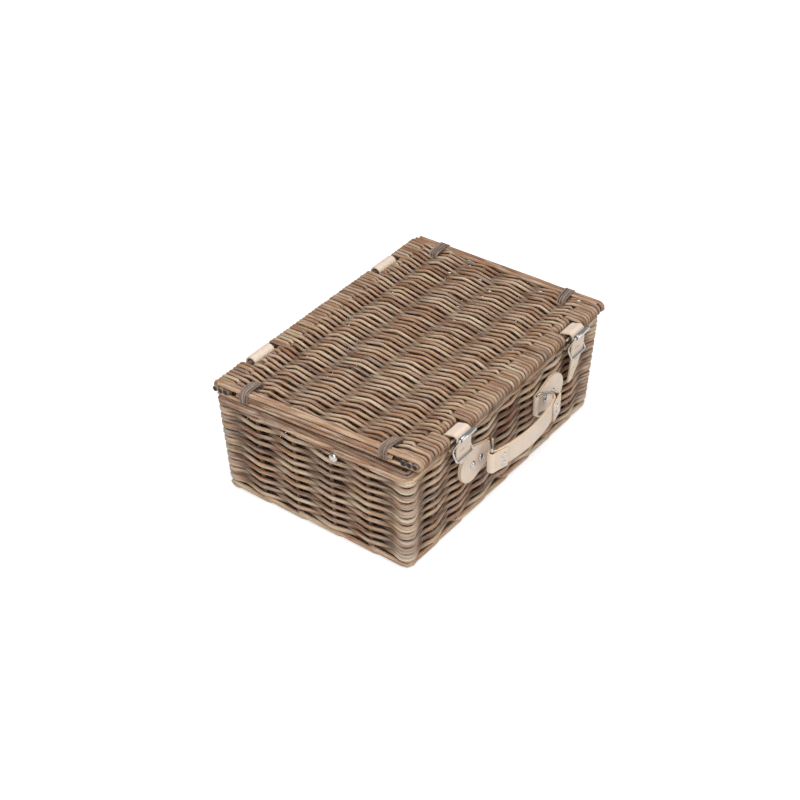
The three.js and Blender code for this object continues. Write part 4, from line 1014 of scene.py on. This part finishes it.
def end_rods(sizes, rods, sign):
    """Rods at a short end: one bent round from top to underside, one outside the sticks, one on top."""
    random = rods.random
    middle = box_middle("lid_end_rod_right")[0]
    radius = sizes.end_rod / 2
    low_gap, low_out, low_share, inner_short = 0.0013, 0.0012, 0.8, 0.006
    top, low = STICK_RADIUS + radius, -STICK_RADIUS - low_gap
    run = np.linspace(LID_EDGE - 0.002, -LID_EDGE, 60)
    turn = np.radians(np.linspace(90, -90, 11))[1:-1]
    bend = columns(-LID_EDGE - top * np.cos(turn), (top + low) / 2 + (top - low) / 2 * np.sin(turn))
    y, z = np.vstack([columns(run, top), bend, columns(run[::-1], low)]).T
    wander = slow_noise(random, np.linspace(0, 0.5, len(y)), 0.03, 0.0006)
    x = sign * (middle + 0.0004 + low_out * (z < 0)) + wander
    size = np.interp(z, [low, top], [low_share * radius, radius])
    rods.add(slanted(columns(x, y, z + LID_LEVEL)), size, X_AXIS, False, 0.62 if sign < 0 else 0.28)
    y = np.linspace(-THIRD_STICK + inner_short, THIRD_STICK - inner_short, 44)
    wander = slow_noise(random, y, 0.05, 0.0005)
    path = columns(sign * (middle + 0.0016) + wander, y, LID_LEVEL + 0.0006 + wander)
    rods.add(slanted(path), radius, Z_AXIS, False, 0.34)
    y = np.linspace(-LID_EDGE - 0.001, LID_EDGE + 0.001, 56)
    wander = slow_noise(random, y, 0.045, 0.0006)
    path = columns(sign * (middle - radius * 1.75) + wander, y, LID_LEVEL + top - 0.0004 + wander)
    rods.add(slanted(path), radius * 0.9, Z_AXIS, False, 0.45)


def end_tie(sizes, rods, sign, y):
    """Strands of split willow wound round the end rods and the last weavers."""
    random = rods.random
    depth, inset_play, lean_most, lean_run, strand_play = 0.0235, 0.0012, 0.0012, 0.02, 0.0003
    outer = LID_LENGTH / 2
    strand = sizes.tie_strand / 2
    past = outer + strand + 0.0002
    high = STICK_RADIUS + sizes.end_rod + strand + 0.0001
    low = -STICK_RADIUS - 0.0030
    for k in range(sizes.tie_strands):
        inset = outer - depth + inset_play * random.uniform(-1, 1)
        corners = [
            (inset, low + 0.002),
            (outer - 0.001, low),
            (past, low + 0.003),
            (past, high - 0.003),
            (outer - 0.003, high),
            (outer - 0.011, high - 0.0006),
            (inset + 0.002, 0.0072),
            (inset, 0.004),
            (inset, low + 0.002),
        ]
        x, z = evenly(rounded_line(corners, 0.003)[:-1], 0.0016, True).T
        lean = lean_most * np.clip((x - inset) / lean_run, 0, 1) * math.copysign(1, -y)
        offset = (k - (sizes.tie_strands - 1) / 2) * sizes.tie_pitch
        along = y + offset + lean + strand_play * random.uniform(-1, 1)
        rods.add(slanted(columns(sign * x, along, z + LID_LEVEL)), strand, Y_AXIS, True)


class HamperLid(bpy.types.Operator):
    """Weaves the lid on its sticks and ties its end rods"""
    bl_idname = "hamper.lid"
    bl_label = "Weave Lid"

    def execute(self, context):
        sizes = context.scene.hamper_lid
        rods = Rods(21, 8, (0.2, 0.9))
        lid_weavers(sizes, rods)
        place(rods.make("lid_weavers", "willow_lid"), "lid", "willow", "lid_weave")
        rods = Rods(22, 12)
        lid_sticks(rods)
        spots = [f"{end}_{spot}" for end in ENDS for spot in ("outer", "second", "third")]
        spots += [f"inner_{i}" for i in range(1, 5)]
        sticks = rods.make("lid_sticks", "willow_stick")
        place(sticks, "lid", "willow", *[f"lid_stick_{spot}" for spot in spots])
        for side, sign in SIDES.items():
            rods = Rods(23 + sign, 12)
            end_rods(sizes, rods, sign)
            place(rods.make(f"lid_end_rods_{side}", "willow_lid"), "lid", "willow", f"lid_end_rod_{side}")
            for end in ENDS:
                rods = Rods(31 + sign + (4 if end == "front" else 0))
                end_tie(sizes, rods, sign, box_middle(f"lid_tie_{end}_{side}")[1])
                tie = rods.make(f"lid_tie_strands_{end}_{side}", "willow_tie")
                place(tie, "lid", "willow", f"lid_tie_{end}_{side}")
        return {"FINISHED"}


# Leather and metal


class HamperHinges(bpy.types.Operator):
    """Makes the leather hinge loops round the lid's back stick and the rim"""
    bl_idname = "hamper.hinges"
    bl_label = "Make Hinge Loops"

    def execute(self, context):
        thickness = context.scene.hamper_fittings.hinge
        foot_radius = 0.00605
        for side, sign in SIDES.items():
            low, high = box_corners(f"hinge_loop_{side}")
            top_line = high[2] - LID_LEVEL - thickness / 2
            rim = np.array([high[1] - foot_radius, low[2] + foot_radius])
            line = self.belt(LID_TURN, top_line, rim, foot_radius - thickness / 2)
            path = in_plane(evenly(line, 0.0012, True), "yz", sign * HINGE_X)
            half = (high[0] - low[0]) / 2
            piece = strip_object(f"hinge_leather_{side}", path, half, thickness, X_AXIS, True)
            place(piece, "basket", "leather", f"hinge_loop_{side}")
        return {"FINISHED"}

    @staticmethod
    def belt(first, radius_first, second, radius_second):
        """The line of a belt round two rods."""
        across = second - first
        along = math.degrees(math.atan2(across[1], across[0]))
        spread = math.degrees(math.acos((radius_first - radius_second) / np.linalg.norm(across)))
        return np.vstack([
            arc(second, radius_second, along - spread, along + spread, 14),
            arc(first, radius_first, along + spread, along + 360 - spread, 14),
        ])


class HamperStraps(bpy.types.Operator):
    """Makes the lid straps with their punched, narrowing tails"""
    bl_idname = "hamper.straps"
    bl_label = "Make Straps"

    HOLE_HEIGHTS = (0.1275, 0.1165, 0.1000, 0.0880, 0.0765)
    HOLE_ROOM = 0.006

    def execute(self, context):
        sizes = context.scene.hamper_fittings
        for side, x in STRAP_PLACES.items():
            low, high = box_corners(f"lid_strap_{side}")
            line = evenly(self.line(sizes, low[2], high[2]), 0.0011)
            half = self.half_width(line, low[2], (high[0] - low[0]) / 2)
            piece = strip_object(f"strap_{side}", in_plane(line, "yz", x), half, sizes.strap, X_AXIS)
            holes = [z for z in self.HOLE_HEIGHTS if z > low[2] + self.HOLE_ROOM]
            cut_away(piece, [self.punch(sizes.hole / 2, x, z) for z in holes])
            place(piece, "lid", "leather", f"lid_strap_{side}")
        return {"FINISHED"}

    @staticmethod
    def tail_y(z, depth=0.0):
        """Where the tail lies at a height: on a circle about the hinge, at a depth in the leather."""
        radius = LID_EDGE - STRAP_FRONT - depth
        return LID_EDGE - np.sqrt(radius ** 2 - (z - LID_LEVEL) ** 2)

    def line(self, sizes, tip, top):
        """Round the lid's front stick, over the roller's back and down the front."""
        bend, stick_gap, half = 0.005, 0.00035, sizes.strap / 2
        stick_radius = box_size("lid_stick_front_outer")[2] / 2
        loop = arc((-LID_EDGE, LID_LEVEL), stick_radius + stick_gap + half, 200, 450, 20)
        bend_z = top - half - bend
        curve = arc((self.tail_y(bend_z, half) + bend, bend_z), bend, 92, 180, 9)
        z = np.linspace(bend_z - 0.002, tip, 40)
        return np.vstack([loop, curve, columns(self.tail_y(z, half), z)])

    @staticmethod
    def half_width(line, tip, half):
        """Full width down to the bottom bar, then narrowing to a round tip."""
        shoulder, root, point, swell, tail_share = 0.004, 0.010, 0.005, 0.0004, 0.3
        bar = box_corners("buckle_frame_left")[0][2] + 0.0012
        neck = max(bar - shoulder, tip + point + 0.001)
        z = line[:, 1]
        heights = [tip + point, neck, bar, bar + 0.010, bar + 0.022]
        width = np.interp(z, heights, [point, root, half, half + swell, half])
        near = np.clip((z - tip) / point, 0, 1)
        round_tip = np.minimum(width, point * np.sqrt(1 - (1 - near) ** 2) + 0.0004)
        width = np.where(near < 1, round_tip, width)
        return np.where(np.arange(len(line)) > len(line) * tail_share, width, half)

    def punch(self, radius, x, z):
        """A round punch through the tail."""
        reach = 0.01
        profile = [(0, -reach), (radius, -reach), (radius, reach), (0, reach)]
        return turned_object("punch", profile, (x, self.tail_y(z), z), Y_AXIS, "pale_leather", 14)


class HamperBuckles(bpy.types.Operator):
    """Makes the buckles: frame, roller, prong and the leather that holds them"""
    bl_idname = "hamper.buckles"
    bl_label = "Make Buckles"

    def execute(self, context):
        sizes = context.scene.hamper_fittings
        for side, x in STRAP_PLACES.items():
            self.x = x
            self.frame(side, sizes)
            self.roller(side)
            self.prong(side, sizes)
            self.chape(side, sizes)
        return {"FINISHED"}

    def frame(self, side, sizes):
        """A bent wire frame with a bar across its middle."""
        step, centre_inset, eye_height, bottom_back, arm_forward = 0.0012, 0.0012, 0.00265, 0.0024, 0.0006
        low, high = box_corners(f"buckle_frame_{side}")
        wire = sizes.buckle_wire / 2
        half = (high[0] - low[0]) / 2 - wire
        top = joint_place(f"roller_{side}_spin")[1:]
        bottom = (top[0] + bottom_back, low[2] + wire)
        eye_low = box_corners("buckle_prong_right")[0]
        self.centre = np.array([high[1] - centre_inset, eye_low[2] + eye_height])
        arm = rounded_line([top, self.centre - (arm_forward, 0.0), bottom], 0.012, 9)
        right = in_plane(evenly(arm, step), "yz", half)
        ring = evenly(np.vstack([right, right[::-1] * (-1, 1, 1)]), step, True)
        for _ in range(2):
            ring = (np.roll(ring, 1, 0) + 2 * ring + np.roll(ring, -1, 0)) / 4
        bar = in_plane([self.centre] * 3, "yz") + np.outer((-half, 0, half), X_AXIS)
        shift = self.x * X_AXIS
        paths = [(ring + shift, np.array([0.0, 1.0, 0.02]), True), (bar + shift, Z_AXIS, False)]
        piece = wire_object(f"buckle_wire_{side}", paths, sizes.buckle_wire)
        place(piece, "basket", "nickel", f"buckle_frame_{side}")

    @staticmethod
    def roller(side):
        """A rolled tube on the top bar."""
        bore, rim, bore_rim = 0.0016, 0.0004, 0.0003
        half, _, outer = box_size(f"buckle_roller_{side}") / 2
        end = [(bore, half - bore_rim), (outer - rim, half), (outer, half - rim)]
        profile = [(radius, -along) for radius, along in end] + end[::-1]
        piece = turned_object(f"roller_tube_{side}", profile, joint_place(f"roller_{side}_spin"), X_AXIS)
        place(piece, f"roller_{side}", "nickel", f"buckle_roller_{side}")

    def prong(self, side, sizes):
        """A prong behind the strap, with an eye round the centre bar."""
        low, high = box_corners(f"buckle_prong_{side}")
        tip = np.array([low[1] + 0.001, high[2] - 0.0008])
        eye = arc(self.centre, 0.0023, 100, 420, 18)
        path = in_plane(np.vstack([tip, (tip + eye[0]) / 2, eye]), "yz", self.x)
        piece = wire_object(f"prong_{side}", [(path, X_AXIS, False)], sizes.prong_wire, 12)
        place(piece, "basket", "nickel", f"buckle_prong_{side}")

    def chape(self, side, sizes):
        """Leather folded round the centre bar and led through the wall under the rim."""
        bend, fold_radius, fold_start, fold_spread, back = 0.003, 0.0024, 0.0034, 128, 0.0042
        low, high = box_corners(f"buckle_chape_{side}")
        gap = sizes.chape * 0.52
        inside = high[1] - sizes.chape
        level = box_corners("wall_weave_front")[1][2] - sizes.chape
        core = [(inside, low[2] + 0.001), (inside, level), (self.centre[0] + back, level), self.centre]
        core = evenly(rounded_line(core, bend), 0.001)
        normal = heading(core)[:, ::-1] * (-1, 1)
        keep = np.linalg.norm(core - self.centre, axis=1) > fold_start
        first, second = (core + normal * gap)[keep], (core - normal * gap)[keep]
        way = self.centre - core[keep][-1]
        turn = math.degrees(math.atan2(way[1], way[0]))
        fold = arc(self.centre, fold_radius, turn + fold_spread, turn - fold_spread, 22)
        line = evenly(np.vstack([first, fold, second[::-1]]), 0.0008)
        path, half = in_plane(line, "yz", self.x), (high[0] - low[0]) / 2
        piece = strip_object(f"chape_leather_{side}", path, half, sizes.chape, X_AXIS, edge=0.0006)
        cut_away(piece, [self.slot_block()])
        place(piece, "basket", "leather", f"buckle_chape_{side}")

    def slot_block(self):
        """A block that clears the prong's eye."""
        middle = np.array([self.x, *self.centre])
        ends = (middle - (0.002, 0.006, 0.003), middle + (0.002, 0.0026, 0.006))
        points = [[ends[(i >> axis) & 1][axis] for axis in range(3)] for i in range(8)]
        faces = [(0, 1, 3, 2), (4, 6, 7, 5), (0, 4, 5, 1), (2, 3, 7, 6), (0, 2, 6, 4), (1, 5, 7, 3)]
        return face_outwards(make_object("slot", points, faces, ["pale_leather"]))


def rivet(node, body, origin, axis, head, dome, depth):
    """A rivet or stud with a domed head, a shank and a flat burr."""
    radius, shank, burr = head / 2, head * 0.2, head * 0.45
    lip, burr_thick, burr_edge = 0.0004, 0.001, 0.0002
    profile = [(radius * math.sin(a), -dome * math.cos(a)) for a in np.linspace(0, math.pi / 2, 7)]
    profile += [(radius * 0.97, lip), (shank, lip), (shank, depth - burr_thick)]
    profile += [(burr, depth - burr_thick), (burr, depth - burr_edge), (0, depth)]
    place(turned_object(f"{node}_dome", profile, origin, axis), body, "nickel", node)


class HamperHandle(bpy.types.Operator):
    """Makes the handle: leather tabs, wire rings, the leather band and all its rivets"""
    bl_idname = "hamper.handle"
    bl_label = "Make Handle"

    def execute(self, context):
        sizes = context.scene.hamper_fittings
        half = abs(HANDLE_PIVOT[0])
        self.radius = (half ** 2 + sizes.band_bow ** 2) / (2 * sizes.band_bow)
        self.middle = HANDLE_PIVOT[1] - sizes.band_bow + self.radius
        self.limit = math.asin(half / self.radius)
        for side, sign in SIDES.items():
            self.tab(side, sign, sizes)
            self.ring(side, sign, sizes)
        self.band(sizes)
        self.rivets(sizes)
        return {"FINISHED"}

    @staticmethod
    def tab(side, sign, sizes):
        """A strip folded round the ring's bar, with two pear-shaped leaves riveted to the wall."""
        pivot = joint_place(f"ring_{side}_swing")
        low, high = box_corners(f"handle_tab_{side}")
        reach = abs((high if sign > 0 else low)[0] - pivot[0])
        back = high[1] - sizes.tab / 2
        front = back - sizes.tab * 1.04
        leaf_back = columns(np.linspace(reach - 0.0004, 0.004, 44), back)
        fold = arc((0.0, pivot[1]), back - pivot[1], 90, 240, 16)
        share = np.linspace(0.0, 1.0, 50)[1:]
        settle = front + (fold[-1, 1] - front) * np.clip(1 - share * 6, 0, 1) ** 2
        leaf_front = columns(fold[-1, 0] + (reach - fold[-1, 0]) * share, settle)
        along, y = evenly(np.vstack([leaf_back, fold, leaf_front]), 0.0009).T
        round_end = (high[2] - low[2]) / 2
        neck = box_size("handle_band")[2] / 2
        centre = reach - round_end
        lean = math.atan2(neck, centre) + math.acos(round_end / math.hypot(centre, neck))
        touch = centre - round_end * math.cos(lean)
        circle = round_end * np.sqrt(np.maximum(1 - ((along - centre) / round_end) ** 2, 0))
        flank = neck + (round_end * math.sin(lean) - neck) * np.clip(along / touch, 0, 1) ** 1.25
        half = np.where(along > touch, np.maximum(circle, 0.0006), flank)
        path = columns(pivot[0] + sign * along, y, pivot[2])
        piece = strip_object(f"tab_leather_{side}", path, half, sizes.tab, Z_AXIS)
        place(piece, "basket", "leather", f"handle_tab_{side}")

    @staticmethod
    def ring(side, sign, sizes):
        """A closed wire ring between tab and band."""
        inner = joint_place(f"ring_{side}_swing")
        outer = HANDLE_PIVOT * (-sign, 1, 1)
        half = (box_size(f"handle_ring_{side}")[2] - sizes.ring_wire) / 2
        reach = np.linalg.norm((outer - inner)[:2])
        corners = [(0, -half), (0, half), (reach, half), (reach, -half)]
        start = (reach / 2, -half)
        line = evenly(rounded_line([start, *corners, start], 0.003, 7)[:-1], 0.0011, True)
        way = (outer - inner) / reach
        path = inner + line[:, :1] * way + line[:, 1:] * Z_AXIS
        piece = wire_object(f"ring_wire_{side}", [(path, np.cross(way, Z_AXIS), True)], sizes.ring_wire)
        place(piece, f"ring_{side}", "nickel", f"handle_ring_{side}")

    def on_band(self, angle, radius):
        """Points across the band at angles from its middle."""
        return columns(radius * np.sin(angle), self.middle - radius * np.cos(angle))

    def between_rings(self, short, count):
        """Angles from ring to ring, short of each by a length along the band."""
        most = self.limit - short / self.radius
        return np.linspace(-most, most, count)

    def band(self, sizes):
        """A bowed band whose ends fold round the rings and lie on its outside."""
        play, flap_start, flap_end = 0.0014, 0.019, 0.006
        run_end, lining_end, lining_in = 0.007, 0.009, 0.0004
        loop = (sizes.ring_wire + sizes.flap) / 2 + play
        flap_radius = self.radius + (sizes.band + sizes.flap) / 2
        flap = self.limit - np.linspace(flap_start, flap_end, 16) / self.radius
        turn = math.degrees(self.limit)
        ends = []
        for sign, first, last in ((-1, 260 - turn, 100 - turn), (1, turn - 80, turn + 80)):
            centre = (sign * abs(HANDLE_PIVOT[0]), HANDLE_PIVOT[1])
            fold = arc(centre, loop, first, last, 18)
            ends.append(np.vstack([self.on_band(sign * flap, flap_radius), fold]))
        run = self.on_band(self.between_rings(run_end, 70), self.radius)
        half = box_size("handle_band")[2] / 2
        path = in_plane(evenly(np.vstack([ends[0], run, ends[1][::-1]]), 0.0011), "xy", HANDLE_PIVOT[2])
        piece = strip_object("band_leather", path, half, sizes.flap, Z_AXIS, edge=0.0010)
        run = self.on_band(self.between_rings(lining_end, 64), self.radius - lining_in)
        path = in_plane(run, "xy", HANDLE_PIVOT[2])
        lining = strip_object("band_lining", path, half - 0.0002, sizes.band, Z_AXIS, edge=0.0012)
        place(piece, "handle", "leather", "handle_band")
        place(lining, "handle", "leather")

    def rivets(self, sizes):
        """Domed rivets of the tabs and the band."""
        tab_proud, tab_dome, band_dome, band_depth = 0.0018, 0.0021, 0.0015, 0.0066
        face_radius = self.radius + sizes.band / 2 + 0.0023
        for side in SIDES:
            for spot in ("outer", "inner"):
                node = f"tab_rivet_{side}_{spot}"
                x, _, z = box_middle(node)
                low, high = box_corners(node)
                origin = (x, low[1] + tab_proud, z)
                depth = high[1] - low[1] - tab_proud
                rivet(node, "basket", origin, Y_AXIS, sizes.tab_rivet, tab_dome, depth)
            for spot in ("lower", "upper"):
                node = f"band_rivet_{side}_{spot}"
                x, _, z = box_middle(node)
                angle = math.asin(x / self.radius)
                axis = np.array([-math.sin(angle), math.cos(angle), 0.0])
                origin = (*self.on_band(angle, face_radius), z)
                rivet(node, "handle", origin, axis, sizes.band_rivet, band_dome, band_depth)


class HamperStud(bpy.types.Operator):
    """Makes the domed stud in the left end wall"""
    bl_idname = "hamper.stud"
    bl_label = "Make Stud"

    def execute(self, context):
        proud, dome = 0.0026, 0.0030
        _, y, z = box_middle("end_stud")
        low, high = box_corners("end_stud")
        depth = high[0] - low[0] - proud
        head = context.scene.hamper_fittings.stud
        rivet("end_stud", "basket", (low[0] + proud, y, z), X_AXIS, head, dome, depth)
        return {"FINISHED"}


class HamperStage(bpy.types.Operator):
    """Sets up the pale floor, the soft studio light and the camera"""
    bl_idname = "hamper.stage"
    bl_label = "Set Stage"

    def execute(self, context):
        self.floor()
        self.lights(context.scene)
        self.camera(context.scene)
        context.scene.view_settings.view_transform = "Standard"
        return {"FINISHED"}

    @staticmethod
    def floor():
        """A wide pale floor that looks white and keeps the hamper's shadow."""
        size = 6.0
        points = [(-size, -size, 0), (size, -size, 0), (size, size, 0), (-size, size, 0)]
        nodes = new_material("pale_floor")
        tree = nodes.tree
        tree.nodes.remove(tree.nodes["Principled BSDF"])
        rays = nodes.add("LightPath").node.outputs
        seen = nodes.math("MAXIMUM", rays["Is Camera Ray"], rays["Is Glossy Ray"])
        seen = nodes.math("MAXIMUM", seen, rays["Is Transmission Ray"])
        away = nodes.size(nodes.add("TexCoord", "Object"))
        strength = nodes.math("MULTIPLY", seen, nodes.between(away, 0.3, 0.8, 0.56, 1.0))
        matte = nodes.add("BsdfDiffuse", 0, {"Color": (0.62, 0.62, 0.62, 1)})
        glow = nodes.add("Emission", 0, {"Color": (1, 1, 1, 1), "Strength": strength})
        both = nodes.add("AddShader", 0, {0: matte, 1: glow})
        nodes.feed(tree.nodes["Material Output"].inputs["Surface"], both)
        make_object("floor", points, [(0, 1, 2, 3)], ["pale_floor"])

    @staticmethod
    def lights(scene):
        """A broad lamp above, softer ones from the left and the front, and an even sky."""
        world = bpy.data.worlds.new("studio")
        scene.world = world
        world.use_nodes = True
        nodes = Nodes(world.node_tree)
        sky = nodes.tree.nodes["Background"].inputs
        sky["Color"].default_value = (1, 1, 1, 1)
        seen = nodes.add("LightPath", "Is Camera Ray")
        nodes.feed(sky["Strength"], nodes.between(seen, 0.0, 1.0, 0.45, 1.0))
        target = Vector((0, 0, 0.06))
        for name, spot, size, power in (
            ("above", (-0.35, -0.25, 1.6), 1.3, 17.0),
            ("left", (-1.5, -0.6, 0.9), 1.0, 12.0),
            ("front", (0.4, -1.7, 0.6), 1.0, 6.5),
        ):
            lamp = bpy.data.lights.new(name, "AREA")
            lamp.size = size
            lamp.energy = power
            holder = bpy.data.objects.new(name, lamp)
            holder.location = spot
            holder.rotation_euler = (target - Vector(spot)).to_track_quat("-Z", "Y").to_euler()
            scene.collection.objects.link(holder)

    @staticmethod
    def camera(scene):
        """A long lens from the front left, looking down."""
        azimuth, elevation, distance = math.radians(-54.296), math.radians(36.29), 1.7415
        target = Vector((-0.0195, 0.0045, 0.0677))
        level = math.cos(elevation)
        away = Vector((math.sin(azimuth) * level, -math.cos(azimuth) * level, math.sin(elevation)))
        data = bpy.data.cameras.new("camera")
        data.sensor_width = 36.0
        data.lens = 73.3
        holder = bpy.data.objects.new("camera", data)
        holder.location = target + away * distance
        holder.rotation_euler = away.to_track_quat("Z", "Y").to_euler()
        scene.collection.objects.link(holder)
        scene.camera = holder


class HamperPanel(bpy.types.Panel):
    """Lists the hamper's sizes, finishes and steps"""
    bl_idname = "VIEW3D_PT_hamper"
    bl_label = "Picnic Hamper"
    bl_space_type = "VIEW_3D"
    bl_region_type = "UI"
    bl_category = "Hamper"

    def draw(self, context):
        for group, kind in GROUPS.items():
            box = self.layout.box()
            for name in kind.__annotations__:
                box.prop(getattr(context.scene, group), name)
        for operator in OPERATORS:
            self.layout.operator(operator.bl_idname)


OPERATORS = (
    HamperStage,
    HamperBasket,
    HamperLid,
    HamperHinges,
    HamperStraps,
    HamperBuckles,
    HamperHandle,
    HamperStud,
)
GROUPS = {
    "hamper_basket": HamperBasketSizes,
    "hamper_lid": HamperLidSizes,
    "hamper_fittings": HamperFittingSizes,
    "hamper_finishes": HamperFinishes,
}
CLASSES = (*GROUPS.values(), *OPERATORS, HamperPanel)


def register():
    """Adds the hamper's settings, operators and panel."""
    for kind in CLASSES:
        bpy.utils.register_class(kind)
    for name, kind in GROUPS.items():
        setattr(bpy.types.Scene, name, bpy.props.PointerProperty(type=kind))


def unregister():
    """Removes the hamper's settings, operators and panel."""
    for name in GROUPS:
        delattr(bpy.types.Scene, name)
    for kind in reversed(CLASSES):
        bpy.utils.unregister_class(kind)


def main():
    """Builds the hamper."""
    register()
    bpy.ops.hamper.stage()
    bpy.ops.hamper.basket()
    bpy.ops.hamper.lid()
    bpy.ops.hamper.hinges()
    bpy.ops.hamper.straps()
    bpy.ops.hamper.buckles()
    bpy.ops.hamper.handle()
    bpy.ops.hamper.stud()


if __name__ == "__main__":
    main()
